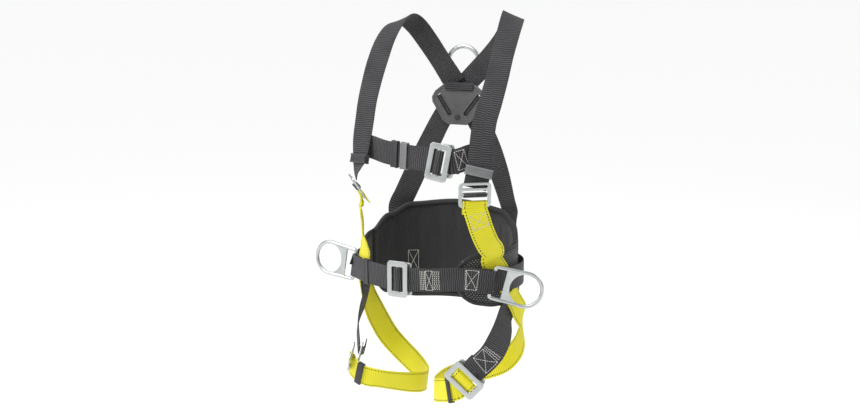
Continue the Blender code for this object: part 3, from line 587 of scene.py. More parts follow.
# %% [markdown]
# ## Turning round a bar
# At every buckle the webbing goes over the plate's middle bar, or folds round the link's bar and is sewn
# back on itself. These folds are only a few millimetres across, so their stations come from the bar.
# %% Sizes of the buckles, rings and adjusters
PLATE_SIZE = (42.0, 68.0)
PLATE_WINDOW_HEIGHT = 47.0
PLATE_SIDE_BAR = 9.5
PLATE_MIDDLE_BAR = 4.0
LINK_SIZE = (38.0, 62.0)
LINK_BAR = 7.0
LINK_SHIFT = 22.0
LINK_DEPTH = 9.4
BUCKLE_THICKNESS = 3.0
ADJUSTER_SIZE = (60.0, 46.0)
ADJUSTER_ROD = 3.0
ADJUSTER_THICKNESS = 3.0
ADJUSTER_FOLD = -14.2
ADJUSTER_FOLD_GAP = 0.8
# Rings: rod radius, half the spacing of the arms, and how far the arc's centre is from the hinge bar
SIDE_RING = (3.5, 31.5, 62.0)
SIDE_WEB_START = 21.8
SIDE_WEB_THICKNESS = 3.2
DORSAL_RING = (4.4, 33.5, 33.0)
BAR_SHARE = 0.94
RING_BAR_OFFSET = 3.4
LEFT_RING_ANGLE = 56.0
RIGHT_RING_ANGLE = -69.0
print("buckle plates, mm:", PLATE_SIZE, "side rings' eyes, mm:", 2 * (SIDE_RING[1] - SIDE_RING[0]))

# %% Stations round the bars
# Over a middle bar: steps along the strap, depths of the webbing and leans of its outer face
OVER_BAR = [
    (-24.0, -4.2, 0.10), (-12.0, -4.0, 0.0), (-8.0, -2.0, -0.7), (-5.2, 1.2, -0.8), (-2.6, 3.2, -0.4),
    (0.0, 3.6, 0.0), (2.6, 3.2, 0.4), (5.2, 1.2, 0.8), (7.2, -2.4, 0.9),
]
ADJUSTER_TAIL = 22.0
ADJUSTER_FRONT = 10.0


def behind(place, shift, depth):
    """Where a link's bar sits for a plate at this place: further along, and behind the plate."""
    origin, along, up = place
    return (Vector(origin) + axes(along, up) @ Vector((shift, 0.0, -depth)), along, up)


def over_middle_bar(origin, along, up):
    """Stations for webbing that comes from behind, over the plate's middle bar and back behind it."""
    x, _, out = axes(along, up).transposed()
    return [(*(Vector(origin) + x * step + out * depth), *(out + x * lean)) for step, depth, lean in OVER_BAR]


def round_link_bar(bar, along, up, leg):
    """Stations for webbing that turns round a link's bar, from the tail behind it to the front."""
    x, _, out = axes(along, up).transposed()
    radius = math.hypot(LINK_BAR, BUCKLE_THICKNESS) / 2 + CLEARANCE + WEBBING_THICKNESS / 2
    return [(*(Vector(bar) + x * leg - out * radius), *(-out)), *turn_round(bar, -x, out, radius)]


def round_lower_bar(origin, upwards, across):
    """Stations for webbing folded over the adjuster's lower bar, from its tail behind to its front."""
    x, _, out = axes(upwards, across).transposed()
    bar = Vector(origin) + x * ADJUSTER_FOLD
    radius = ADJUSTER_THICKNESS / 2 + ADJUSTER_FOLD_GAP + WEBBING_THICKNESS / 2
    tail = bar - x * ADJUSTER_TAIL - out * radius
    front = bar - x * ADJUSTER_FRONT + out * radius
    return [(*tail, *(-out)), *turn_round(bar, x, out, radius), (*front, *out)]


def ring_fold(angle, place, side):
    """Stations for belt webbing that turns round a side ring's bar; side is +1 on the wearer's left."""
    bar, _, bar_direction = place
    bar_direction = bar_direction.normalized()
    along = waist_tangent(angle) * side
    backwards = (along - bar_direction * along.dot(bar_direction)).normalized()
    outward = backwards.cross(bar_direction) * side
    return turn_round(bar, backwards, -outward, SIDE_RING[0] + CLEARANCE + WEBBING_THICKNESS / 2)


print("stations over a middle bar:", len(OVER_BAR))

# %% [markdown]
# ## Where the metal sits
# Each fitting has a place of three things: a point, the way the strap runs through it, and the direction
# across the strap. The straps and the metal both use it, so they can't drift apart.
# %% Places of the fittings
LEFT_RING = (waist(LEFT_RING_ANGLE, RING_BAR_OFFSET, -1.0), Vector((0.89, 0.39, -0.24)),
             Vector((0.20, 0.10, 0.97)))
RIGHT_RING = (waist(RIGHT_RING_ANGLE, RING_BAR_OFFSET, -4.0), Vector((-0.98, 0.15, 0.11)),
              Vector((0.11, 0.05, 0.99)))
RING_BAR = Vector((0.0, 116.0, 350.0))
CHEST_PLATE = ((59.0, -134.0, 222.0), (0.97, 0.05, -0.17), (0.18, 0.08, 0.98))
CHEST_LINK = ((80.0, -120.5, 222.5), (0.98, 0.16, -0.08), (0.08, 0.0, 1.0))
BELT_PLATE = (tuple(waist(-7.0, 4.5)), (0.99, -0.04, 0.0), (0.0, 0.0, 1.0))
BELT_LINK = behind(BELT_PLATE, LINK_SHIFT, LINK_DEPTH)
LEFT_LEG_PLATE = ((120.0, -153.0, -172.0), (0.66, 0.10, 0.74), (-0.70, -0.15, 0.68))
LEFT_LEG_LINK = behind(LEFT_LEG_PLATE, LINK_SHIFT, LINK_DEPTH)
RIGHT_LEG_PLATE = ((-134.0, -115.0, -172.0), (-0.05, 0.64, 0.77), (-0.44, 0.68, -0.60))
RIGHT_LEG_LINK = behind(RIGHT_LEG_PLATE, LINK_SHIFT, LINK_DEPTH + 6.0)
ADJUSTERS = {
    "right": ((-117.0, -116.0, 164.0), (-0.42, -0.30, 0.86), (-0.60, 0.80, 0.0)),
    "left": ((127.0, -124.5, 166.0), (0.05, -0.07, 0.99), (-0.80, -0.60, 0.0)),
}
print("belt buckle at, body mm:", [round(value) for value in BELT_PLATE[0]])

# %% [markdown]
# ## Chest strap
# The chest strap keeps the shoulder straps together. Its right half threads through the front plate of
# a two-piece buckle and its left half is folded round the link and sewn with a crossed box.
# %% Weave the chest strap
chest_right = [
        (-126, -85, 239, -0.20, -0.98, 0.0),
        (-108, -90, 238, -0.28, -0.96, 0.0),
        (-90, -97.5, 236, -0.34, -0.94, 0.0),
        (-61, -111, 232, -0.30, -0.95, 0.0),
        (-34, -120, 230, -0.25, -0.97, 0.0),
        (-10, -126, 228.5, -0.18, -0.98, 0.0),
        (14, -131, 227, -0.10, -0.99, 0.0),
        *over_middle_bar(*CHEST_PLATE),
]
chest_left = [
        *round_link_bar(*CHEST_LINK, 14.0),
        (90, -124.0, 224.5, 0.30, -0.95, 0.0),
        (100, -117.5, 228, 0.60, -0.80, 0.0),
        (109, -108.5, 232, 0.66, -0.75, 0.0),
        (118, -101.5, 234, 0.50, -0.86, 0.0),
        (130, -96.5, 236, 0.36, -0.93, 0.0),
        (142, -92.5, 238, 0.30, -0.95, 0.0),
]
weave_straps({"chest_strap_right": chest_right, "chest_strap_left": chest_left})

# %% [markdown]
# ## Torso straps
# Two yellow straps join the belt to the adjusters on the shoulder straps. Yellow marks the parts that
# a wearer adjusts, and a dark tracer yarn runs close to both edges so that wear is easy to see.
# %% Weave the yellow torso straps
torso = {
    "torso_strap_right": [
        *round_lower_bar(*ADJUSTERS["right"]),
        (-109, -119, 128, -0.84, -0.54, 0.1),
        (-108, -113, 104, -0.89, -0.45, 0.0),
        (-110, -105, 78, -0.90, -0.43, 0.0),
        (-109, -101, 56, -0.84, -0.55, 0.0, 0.4),
        on_waist(-46, YELLOW_LAYER - 0.4, 34),
        on_waist(-54, YELLOW_LAYER, 8),
        on_waist(-66, YELLOW_LAYER, -12),
    ],
    "torso_strap_left": [
        *round_lower_bar(*ADJUSTERS["left"]),
        (134, -124, 122, 0.55, -0.83, 0.0),
        (140, -118, 98, 0.55, -0.83, 0.0),
        (146, -106, 74, 0.62, -0.78, 0.0),
        (149.5, -87, 56, 0.72, -0.70, 0.0, 0.4),
        on_waist(58, YELLOW_LAYER - 0.2, 36),
        on_waist(67, YELLOW_LAYER, 8),
        on_waist(76, YELLOW_LAYER, -17),
    ],
}
weave_straps(torso)

# %% Weave the wraps round the adjusters' rods
WRAP_WIDTH = 43.0
WRAP_GAP = 0.4
WRAP_ANGLES = (-40.0, 220.0)
for side, (origin, upwards, across) in ADJUSTERS.items():
    x, _, out = axes(upwards, across).transposed()
    radius = ADJUSTER_ROD + WRAP_GAP + WEBBING_THICKNESS / 2
    wrap = turn_round(Vector(origin) + x, -x, -out, radius, *WRAP_ANGLES, steps=9)
    weave_straps({"torso_adjuster_wrap_" + side: wrap}, WRAP_WIDTH)

# %% [markdown]
# ## Belt webbing
# The belt is three lengths of black webbing: one across the back, and one on each side of the buckle that
# turns round a side ring's bar and is sewn back to itself.
# %% Weave the belt
belt = {
    "belt_webbing_left": [
        *round_link_bar(*BELT_LINK, 18.0),
        on_waist(18, 0.0, 3),
        on_waist(29, 0.0, 5),
        on_waist(39, 0.0, 5),
        on_waist(46, 3.0, 3),
        *ring_fold(LEFT_RING_ANGLE, LEFT_RING, 1),
        on_waist(48, FOLDED_LAYER, 3, -1),
        on_waist(42, FOLDED_LAYER, 5, -1),
        on_waist(36, FOLDED_LAYER, 5, -1),
    ],
    "belt_webbing_right": [
        on_waist(-49, FOLDED_LAYER, -1, -1),
        on_waist(-55, FOLDED_LAYER, -2, -1),
        on_waist(-61, FOLDED_LAYER, -2, -1),
        *reversed(ring_fold(RIGHT_RING_ANGLE, RIGHT_RING, -1)),
        on_waist(-58, 1.8, -2),
        on_waist(-50, 0.4, -1),
        on_waist(-38, 0.0, 0),
        on_waist(-25, 0.0, 0),
        *over_middle_bar(*BELT_PLATE),
    ],
    "belt_webbing_back": [on_waist(59, -2.0, 2), on_waist(66, -0.8, 1),
                          *(on_waist(angle, 0.0, 0.0) for angle in range(75, 285, 11))],
}
weave_straps(belt)

# %% [markdown]
# ## Hip and leg straps
# A black hip strap hangs from each side of the belt and ends at a buckle. A yellow leg strap starts under
# the same side, goes behind the thigh, comes back between the legs and threads through that buckle.
# %% Weave the hip and leg straps
legs = {
    "hip_strap_left": [
        on_waist(104, BLACK_LAYER, 4),
        on_waist(97, BLACK_LAYER, -12),
        on_waist(89, BLACK_LAYER, -32),
        on_waist(80, BLACK_LAYER, -54),
        (158.5, -46, -70, 0.93, -0.37, 0.0, 0.3),
        (163, -68, -87, 0.82, -0.56, 0.15),
        (165, -94, -105, 0.60, -0.75, 0.25),
        (158, -122, -129, 0.38, -0.88, 0.3),
        *reversed(round_link_bar(*LEFT_LEG_LINK, 20.0)),
    ],
    "leg_strap_left": [
        on_waist(79, YELLOW_LAYER, -27),
        on_waist(83, YELLOW_LAYER, -42),
        (173, -12, -68, 0.94, -0.34, 0.0, 0.3),
        (173, 3, -98, 0.93, 0.34, 0.0),
        (166, 20, -130, 0.74, 0.66, -0.1),
        (150, 35, -162, 0.52, 0.82, -0.2),
        (121, 44, -193, 0.24, 0.92, -0.3),
        (82, 42, -212, 0.0, 0.93, -0.35),
        (45, 22, -220, -0.50, 0.80, -0.25),
        (24, -12, -224, -0.95, 0.25, -0.1),
        (20, -52, -226, -0.97, -0.22, 0.0),
        (34, -94, -220, -0.80, -0.58, 0.05),
        (60, -126, -208, -0.42, -0.88, 0.15),
        (83, -145, -198, -0.18, -0.95, 0.25),
        *over_middle_bar(*LEFT_LEG_PLATE),
    ],
    "hip_strap_right": [
        on_waist(-102, BLACK_LAYER, 4),
        on_waist(-97, BLACK_LAYER, -8),
        on_waist(-92, BLACK_LAYER, -24),
        on_waist(-87, BLACK_LAYER, -49),
        (-149.5, -29, -77, -0.94, -0.34, 0.0),
        (-147, -52, -99, -0.92, -0.37, 0.1),
        (-142, -72, -122, -0.90, -0.38, 0.2),
        *reversed(round_link_bar(*RIGHT_LEG_LINK, 14.0)),
    ],
    "leg_strap_right": [
        on_waist(-79, YELLOW_LAYER, -22),
        on_waist(-86, YELLOW_LAYER, -40),
        (-160, 2, -70, -0.99, 0.1, 0.0, 0.5),
        (-155, 12, -98, -0.92, 0.38, 0.0),
        (-148, 28, -132, -0.72, 0.66, -0.1),
        (-134, 42, -168, -0.50, 0.82, -0.2),
        (-110, 48, -196, -0.22, 0.92, -0.3),
        (-80, 42, -216, 0.05, 0.93, -0.35),
        (-46, 18, -226, 0.50, 0.80, -0.25),
        (-18, -14, -228, 0.90, 0.35, -0.1),
        (-10, -50, -224, 0.98, -0.15, -0.2),
        (-19, -84, -216, 0.82, -0.50, -0.3),
        (-40, -114, -207, 0.45, -0.82, -0.35),
        (-66, -134, -200, 0.10, -0.92, -0.30),
        (-90, -140, -196.5, -0.26, -0.94, -0.15),
        (-109, -138.5, -190, -0.62, -0.78, 0.0),
        *over_middle_bar(*RIGHT_LEG_PLATE)[1:],
    ],
}
weave_straps(legs)

# %% [markdown]
# ## The loop of the dorsal ring
# The ring that a fall-arrest line clips to hangs in a loop of webbing above the plate. The loop goes round
# the ring's bar with a little room, so that the ring can swing.
# %% Weave the dorsal loop
LOOP_LEG = 30.0
loop_radius = DORSAL_RING[0] + CLEARANCE + WEBBING_THICKNESS / 2
outer_leg, inner_leg = (RING_BAR + Vector((0.0, side * loop_radius, -LOOP_LEG)) for side in (1, -1))
weave_straps({"dorsal_ring_loop": [(*outer_leg, 0.0, 1.0, 0.0),
                                   *turn_round(RING_BAR, (0.0, 0.0, 1.0), (0.0, -1.0, 0.0), loop_radius),
                                   (*inner_leg, 0.0, -1.0, 0.0)]})

# %% [markdown]
# ## Sewing the laps
# Harness makers sew each load-bearing lap with a pattern that an inspector can count. Each pattern is laid
# out from the point of its strap that is nearest to a known place.
# %% Sew the front of the harness
SEAMS = [
    ("belt_front_stitching", "belt_webbing_left", (43.0, -138.0, 4.0),
     [bars(-19.0, -10.5, 4), box_and_cross(-9.0, 4.5), zigzags(8.0, 16.0, 3)]),
    ("belt_side_stitching", "belt_webbing_left", (118.0, -114.0, 6.0),
     [box_and_cross(-11.5, 11.5), bars(-9.5, -9.5, 1)]),
    ("chest_stitching", "chest_strap_left", (97.5, -118.5, 227.5), [box_and_cross(-9.5, 9.5, 17.0)]),
    ("hip_left_stitching", "hip_strap_left", (158.0, -122.0, -129.0),
     [box_and_cross(-0.5, 26.5), zigzags(-8.5, -4.5, 2)]),
    ("hip_right_stitching", "hip_strap_right", (-145.0, -66.0, -115.0),
     [box_and_cross(-14.0, 14.0), zigzags(-22.0, -18.0, 2)]),
    *(("torso_strap_" + side + "_stitching", "torso_strap_" + side, ADJUSTERS[side][0],
       [box_and_cross(26.0, 52.0, 15.0)]) for side in ("left", "right")),
    *(("belt_back_stitching_" + side, "belt_webbing_back", waist(angle),
       [box_and_cross(-16.0, 16.0), zigzags(-24.0, -20.0, 2), zigzags(20.0, 24.0, 2)])
      for side, angle in (("left", 112), ("right", -112))),
]
for name, strap, place, patterns in SEAMS:
    sew(name, straps[strap], nearest(straps[strap], place), *patterns)

# %% [markdown]
# ## Two laps of their own
# The dorsal loop's legs are sewn together below its bar. Inside the lumbar pad a small crossed box holds
# the pad to the back webbing, so a flat route is laid on the pad's face to carry it.
# %% Sew the dorsal loop and the inside of the lumbar pad
sew("dorsal_loop_stitching", straps["dorsal_ring_loop"], 0.0, bars(16.0, 16.0, 1), zigzags(6.0, 12.0, 3))
inside = PAD_FACE - LUMBAR_PAD_THICKNESS + 0.6
patch_angle, _ = waist_place(Vector((-109.0, 95.0, 0.0)))
patch = lay_out([on_waist(patch_angle, inside, z, -1.0) for z in (-60.0, -30.0, 0.0, 30.0)])
sew("lumbar_pad_stitching", patch, nearest(patch, waist(patch_angle, inside, -14.0)),
        box_and_cross(-21.0, 21.0, 10.5))

# %% [markdown]
# ## The outlines of the pads
# The belt's lumbar pad and side pads are foam in a fabric cover, gathered at the edge by a binding tape.
# Seen flat, each pad is a band round the waist between two curved edges, so a few (angle, height) keys
# with smooth steps between them are enough for an outline.
# %% Pad outlines
PAD_OVERLAP = 2.5
LUMBAR_TOP = [(97, 56), (118, 84), (140, 104), (180, 112)]
LUMBAR_BOTTOM = [(97, -48), (115, -78), (145, -90), (180, -88)]
# First and last angle, side of the body, and the keys of the lower and upper edge
PADS = {
    "lumbar_pad": (97.0, 263.0, 1.0, LUMBAR_BOTTOM, LUMBAR_TOP),
    "side_pad_left": (31, 96 + PAD_OVERLAP, 1.0,
                      [(31, -12), (35, -32), (46, -46), (62, -52), (80, -50), (96, -47)],
                      [(31, 20), (36, 40), (46, 50), (96, 55)]),
    "side_pad_right": (72, 96 + PAD_OVERLAP, -1.0, [(72, -26), (78, -44), (96, -50)],
                       [(72, 30), (78, 46), (96, 55)]),
}


def edge_height(keys, angle):
    """Height of a pad's edge at an angle, which is the same as far past the back as before it."""
    angle = min(angle, 360.0 - angle)
    for (a0, h0), (a1, h1) in zip(keys, keys[1:]):
        if a0 <= angle <= a1:
            share = (angle - a0) / (a1 - a0)
            return h0 + (h1 - h0) * share * share * (3 - 2 * share)
    return keys[-1][1]


def arc_between(first, last, steps=40):
    """Length in millimetres round the waist between two angles, as the pads lie."""
    points = [waist(first + (last - first) * k / steps, PAD_FACE) for k in range(steps + 1)]
    return sum((b - a).length for a, b in zip(points, points[1:]))


for name, (first, last, *_) in PADS.items():
    print(name, round(arc_between(first, last)), "mm round the waist")

# %% [markdown]
# ## A shell for a pad
# A pad could be a box with rounded corners, but real covers crown between their seams. So each pad starts
# as a closed shell that is thinner than the finished pad and thinnest at its sewn edge. Its grid is even
# already, so it needs no remesh before the simulation, and it keeps the UV map that its weave follows.
# %% A function that makes the shell
PAD_CELL = 6.0
PINCHED_EDGE = 3.0
PINCH_REACH = 16.0
CORNER_ROUNDING = 10.0


def pad_shell(name, thickness):
    """A closed shell in the shape of a pad, and the numbers of the points on its sewn edge."""
    first, last, sign, low_keys, high_keys = PADS[name]
    length = arc_between(sign * first, sign * last)
    centre = (first + last) / 2
    columns = round(length / PAD_CELL)
    rows = round((edge_height(high_keys, centre) - edge_height(low_keys, centre)) / PAD_CELL)
    bm = bmesh.new()
    uv = bm.loops.layers.uv.new("pad")
    bmesh.ops.create_grid(bm, x_segments=columns, y_segments=rows, size=1.0)
    wall = bmesh.ops.extrude_face_region(bm, geom=bm.faces[:], use_keep_orig=True)
    bmesh.ops.translate(bm, verts=[v for v in wall["geom"] if isinstance(v, bmesh.types.BMVert)],
                        vec=(0, 0, -1))
    for face in bm.faces:
        for loop in face.loops:
            across, up, _ = loop.vert.co
            loop[uv].uv = (across * length / 2 * MM, up * rows * PAD_CELL / 2 * MM)
    rim = []
    for vert in bm.verts:
        across, up, layer = vert.co
        angle = first + (last - first) * (across + 1) / 2
        bottom, top = edge_height(low_keys, angle), edge_height(high_keys, angle)
        z = bottom + (top - bottom) * (up + 1) / 2
        edge = min(z - bottom, top - z)
        if name != "lumbar_pad":
            edge = min(edge, (across + 1) / 2 * length)
            if across < -0.93:
                z -= math.copysign(CORNER_ROUNDING * max(0.0, abs(across) + abs(up) - 1.86) / 0.14, up)
        full = min(max(edge / PINCH_REACH, 0.0), 1.0)
        thin = (thickness - PINCHED_EDGE) / 2 * (1 - math.sin(full * math.pi / 2))
        offset = PAD_FACE - thin if layer > -0.5 else PAD_FACE - thickness + thin
        if edge < 0.5 or abs(across) > 0.999:
            rim.append(vert)
        vert.co = to_model(waist(sign * angle, offset, z))
    bmesh.ops.recalc_face_normals(bm, faces=bm.faces)
    bm.verts.index_update()
    return bm, [vert.index for vert in rim]


print("pad cells are", PAD_CELL, "mm")

# %% [markdown]
# ## Stuffing a pad
# A cloth simulation with pressure inside and no gravity blows the shell up a little, while its edge is
# pinned as sewn. No point may move further than the foam would let it, and none may pass the face on which
# the straps lie. One subdivision then smooths the cover.
# %% A function that stuffs a pad
SWELL_CAP = 2.5
PRESSURE = 4.0
LAST_FRAME = 20
FACE_SLACK = 0.3


def swell(piece, rim):
    """Blow up a shell with its rim pinned, and keep each point near its start."""
    start = [v.co.copy() for v in piece.data.vertices]
    piece.vertex_groups.new(name="sewn edge").add(rim, 1.0, "REPLACE")
    cloth = piece.modifiers.new("stuffing", "CLOTH")
    cloth.settings.vertex_group_mass = "sewn edge"
    cloth.settings.use_pressure = True
    cloth.settings.uniform_pressure_force = PRESSURE
    cloth.settings.effector_weights.gravity = 0.0
    for frame_number in range(1, LAST_FRAME + 1):
        bpy.context.scene.frame_set(frame_number)
    shaped = piece.evaluated_get(bpy.context.evaluated_depsgraph_get())
    moved = [v.co.copy() for v in shaped.data.vertices]
    piece.modifiers.remove(cloth)
    for vert, old, new in zip(piece.data.vertices, start, moved):
        step = new - old
        vert.co = old + step * min(1.0, SWELL_CAP * MM / max(step.length, 1e-9))
    bpy.context.scene.frame_set(1)


def stuff(name, thickness, finish):
    """A padded cover that stands for a measured pad and stays behind the straps."""
    bm, rim = pad_shell(name, thickness - SWELL_CAP)
    piece = new_piece(name + "_cover", bm, finish, 180.0)
    swell(piece, rim)
    for vert in piece.data.vertices:
        body = vert.co / MM + HANG_POINT
        angle, offset = waist_place(body)
        vert.co = to_model(waist(angle, min(offset, PAD_FACE + FACE_SLACK), body.z))
    smooth = piece.modifiers.new("smooth cover", "SUBSURF")
    smooth.levels = smooth.render_levels = 1
    stand_for(piece, name)
    print(name, "covers", len(piece.data.polygons), "faces")


print("pads swell by up to", SWELL_CAP, "mm")

# %% [markdown]
# ## Binding a pad
# A grosgrain tape is folded over each bound edge. Its cross-section is an open U, repeated along the edge
# and bridged from one ring to the next; a Solidify gives it the thickness of tape. The side pads run under
# the lumbar pad, and have no binding there.
# %% Functions that bind a pad's edges
BINDING_STEP = 5.0
TAPE_THICKNESS = 0.9
# Half of the tape's section: depths inwards from the edge, and shares of its half height
TAPE_SECTION = [(6.5, 1.0), (4.0, 0.95), (1.2, 0.8), (-0.6, 0.45), (-1.0, 0.0)]


def bound_edges(name):
    """Open paths of (angle, height) along a pad's bound edges."""
    first, last, sign, low_keys, high_keys = PADS[name]
    count = max(6, round(arc_between(sign * first, sign * last) / BINDING_STEP))
    angles = evenly(first, last, count + 1)
    bottom = [(a, edge_height(low_keys, a)) for a in angles]
    top = [(a, edge_height(high_keys, a)) for a in reversed(angles)]
    if name == "lumbar_pad":
        return [bottom, top]
    upper, lower = top[-1][1], bottom[0][1]
    ups = max(4, round((upper - lower) / BINDING_STEP))
    path = top + [(first, upper - (upper - lower) * k / ups) for k in range(1, ups)] + bottom
    for _ in range(4):
        inner = [tuple((a + 2 * b + c) / 4 for a, b, c in zip(*three))
             for three in zip(path, path[1:], path[2:])]
        path = [path[0], *inner, path[-1]]
    return [path]


def bind(name, thickness):
    """Binding tape folded over a pad's edges."""
    sign = PADS[name][2]
    half = thickness * 0.33 + TAPE_THICKNESS
    section = [(depth, half * share) for depth, share in TAPE_SECTION]
    section += [(depth, -height) for depth, height in reversed(section[:-1])]
    bm = bmesh.new()
    for path in bound_edges(name):
        points = [waist(sign * a, PAD_FACE - thickness / 2, z) for a, z in path]
        rings = []
        for k, point in enumerate(points):
            forwards = (points[min(k + 1, len(points) - 1)] - points[max(k - 1, 0)]).normalized()
            out = waist_normal(sign * path[k][0])
            inwards = out.cross(forwards).normalized() * sign
            ring = [bm.verts.new(to_model(point + inwards * depth + out * height))
                for depth, height in section]
            rings.append([bm.edges.new(pair) for pair in zip(ring, ring[1:])])
        for before, after in zip(rings, rings[1:]):
            bmesh.ops.bridge_loops(bm, edges=before + after)
    bmesh.ops.recalc_face_normals(bm, faces=bm.faces)
    tape = add_extra(new_piece(name + "_binding", bm, BINDING, 180.0))
    wall = tape.modifiers.new("tape", "SOLIDIFY")
    wall.thickness = TAPE_THICKNESS * MM
    wall.offset = 0.0


print("binding tape is", TAPE_THICKNESS, "mm thick")

# %% [markdown]
# ## Pad fabrics
# The lumbar pad has a tight, matt polyamide cover. The side pads are spacer mesh, a thick open knit
# that lets air through: black, with rows of small holes in which the pale foam shows, about 5 mm apart.
# The binding is black grosgrain, whose ribs are too fine to show, so it has only their mottle.
# %% Cover fabric, spacer mesh and binding tape
WEAVE_SPACING = 0.0024
HOLE_SPACING = (0.0054, 0.0042)


def cover_fabric():
    """Plain-woven polyamide: matt, very dark, with faint creases and a 1.2 mm weave drawn at 2.4 mm; painted
    highlight on their raised parts and painted shade in their hollows.
    """
    finish, node = new_finish("woven polyamide cover", 0.8, Sheen_Weight=0.2)
    place = node("UVMap", uv_map="pad")
    waves = []
    for axis in (0, 1):
        across = node("SeparateXYZ", [place], axis)
        turns = node("Math", [across, 2 * math.pi / WEAVE_SPACING], operation="MULTIPLY")
        waves.append(node("Math", [turns], operation="SINE"))
    checks = node("Math", waves, operation="MULTIPLY")
    weave_height = node("Math", [checks, 0.5, 0.5], operation="MULTIPLY_ADD")
    stretched = node("Mapping", {"Vector": place, "Scale": (34.0, 9.0, 1.0)})
    crease = node("TexNoise", {"Vector": stretched, "Scale": 1.0, "Detail": 3.0}, noise_dimensions="2D")
    height = node("Math", [crease, 5.0, weave_height], operation="MULTIPLY_ADD")
    # The colour rises with the weave and the creases: painted highlight on their raised parts and painted shade
    # in their hollows.
    painted_crease_light = node("Math", [crease, 0.6], operation="MULTIPLY")
    lightness = node("Math", [weave_height, 0.35, painted_crease_light], operation="MULTIPLY_ADD")
    colour = node("Mix", {0: lightness, 6: paint("#161518"), 7: paint("#313034")}, 2, data_type="RGBA")
    return surface(finish, colour, height, 0.0005)


def spacer_mesh():
    """Knitted spacer mesh: dark knit with round holes in staggered rows."""
    finish, node = new_finish("knitted polyester spacer mesh", 0.85, Sheen_Weight=0.15)
    place = node("UVMap", uv_map="pad")
    along, up = node("SeparateXYZ", [place]), node("SeparateXYZ", [place], 1)
    row = node("Math", [up, 1 / HOLE_SPACING[1]], operation="MULTIPLY")
    whole = node("Math", [row], operation="FLOOR")
    odd = node("Math", [whole, 2.0], operation="MODULO")
    stagger = node("Math", [odd, 0.5], operation="MULTIPLY")
    column = node("Math", [along, 1 / HOLE_SPACING[0], stagger], operation="MULTIPLY_ADD")
    squares = []
    for cell in (column, row):
        part = node("Math", [cell], operation="FRACT")
        off = node("Math", [part, 0.5], operation="SUBTRACT")
        squares.append(node("Math", [off, off], operation="MULTIPLY"))
    total = node("Math", squares, operation="ADD")
    far = node("Math", [total], operation="SQRT")
    knit_share = node("Math", [far, 9.0, -1.6], operation="MULTIPLY_ADD", use_clamp=True)
    hole = node("Math", [1.0, knit_share], operation="SUBTRACT")
    knit = node("TexNoise", {"Vector": place, "Scale": 500.0, "Detail": 2.0}, noise_dimensions="2D")
    dark = node("Mix", {0: knit, 6: paint("#17171A"), 7: paint("#38383C")}, 2, data_type="RGBA")
    colour = node("Mix", {0: hole, 6: dark, 7: paint("#8F908B")}, 2, data_type="RGBA")
    return surface(finish, colour, knit_share, 0.0006)


def mottled(name, roughness, sheen, scale, dark, light, depth):
    """A fabric whose threads are too fine to show, so that only a mottle is left."""
    finish, node = new_finish(name, roughness, Sheen_Weight=sheen)
    place = node("TexCoord", out="Object")
    noise = node("TexNoise", {"Vector": place, "Scale": scale, "Detail": 2.0})
    colour = node("Mix", {0: noise, 6: paint(dark), 7: paint(light)}, 2, data_type="RGBA")
    return surface(finish, colour, noise, depth)


COVER, SPACER = cover_fabric(), spacer_mesh()
BINDING = mottled("black grosgrain binding", 0.7, 0.05, 420.0, "#161617", "#303032", 0.0003)
print("pad finishes:", COVER.name, "|", SPACER.name, "|", BINDING.name)

# %% Stuff the pads and bind their edges
for name, thickness, slot, finish in (("lumbar_pad", LUMBAR_PAD_THICKNESS, "pad_fabric", COVER),
                                      ("side_pad_left", SIDE_PAD_THICKNESS, "mesh_fabric", SPACER),
                                      ("side_pad_right", SIDE_PAD_THICKNESS, "mesh_fabric", SPACER)):
    stuff(name, thickness, finish)
    bind(name, thickness)

# %% [markdown]
# ## Zinc-plated steel
# The rings and buckles are pressed or forged steel, tumbled and zinc plated: a pale, satin, slightly blue
# grey, with soft highlights, faint cloudiness from the plating and small scuffs where webbing rubs.
# %% Zinc-plated steel
def zinc_plate(name, light, dark, roughness):
    """Plated steel with 14 mm clouds, 1.1 mm grain and long fine scuffs."""
    finish, node = new_finish(name, roughness, metallic=1.0)
    place = node("TexCoord", out="Object")
    cloud = node("TexNoise", {"Vector": place, "Scale": 70.0, "Detail": 4.0})
    grain = node("TexNoise", {"Vector": place, "Scale": 900.0, "Detail": 2.0})
    squeezed = node("Mapping", {"Vector": place, "Scale": (60.0, 60.0, 700.0)})
    scuff = node("TexNoise", {"Vector": squeezed, "Scale": 1.0, "Detail": 5.0, "Roughness": 0.7})
    clouds = node("Math", [cloud, 0.5], operation="MULTIPLY")
    share = node("Math", [scuff, 0.6, clouds], operation="MULTIPLY_ADD")
    satin = node("Math", [cloud, 0.22, roughness - 0.11], operation="MULTIPLY_ADD")
    colour = node("Mix", {0: share, 6: paint(dark), 7: paint(light)}, 2, data_type="RGBA")
    return surface(finish, colour, grain, 0.00006, 0.6, satin)


RING_STEEL = zinc_plate("forged zinc-plated steel", "#E2E5E5", "#A9AEAE", 0.36)
BUCKLE_STEEL = zinc_plate("pressed zinc-plated steel", "#D8DBDA", "#9FA4A3", 0.40)
print("steel finishes:", RING_STEEL.name, "|", BUCKLE_STEEL.name)

# %% [markdown]
# ## Pressed plates and bent rods
# A buckle is punched from 3 mm plate, so it is modelled as it is made: an outline with windows is filled,
# extruded by its thickness, and its sharp edges are bevelled. Rods are swept from one circle.
# %% Functions for plates and rods
def rounded_rectangle(width, height, radius, centre=(0.0, 0.0), steps=4):
    """Points round a rectangle whose corners are arcs."""
    points = []
    for corner in range(4):
        middle = math.radians(45 + 90 * corner)
        x = centre[0] + math.copysign(width / 2 - radius, math.cos(middle))
        y = centre[1] + math.copysign(height / 2 - radius, math.sin(middle))
        for step in range(steps + 1):
            angle = math.radians(90 * corner + 90 * step / steps)
            points.append((x + radius * math.cos(angle), y + radius * math.sin(angle)))
    return points


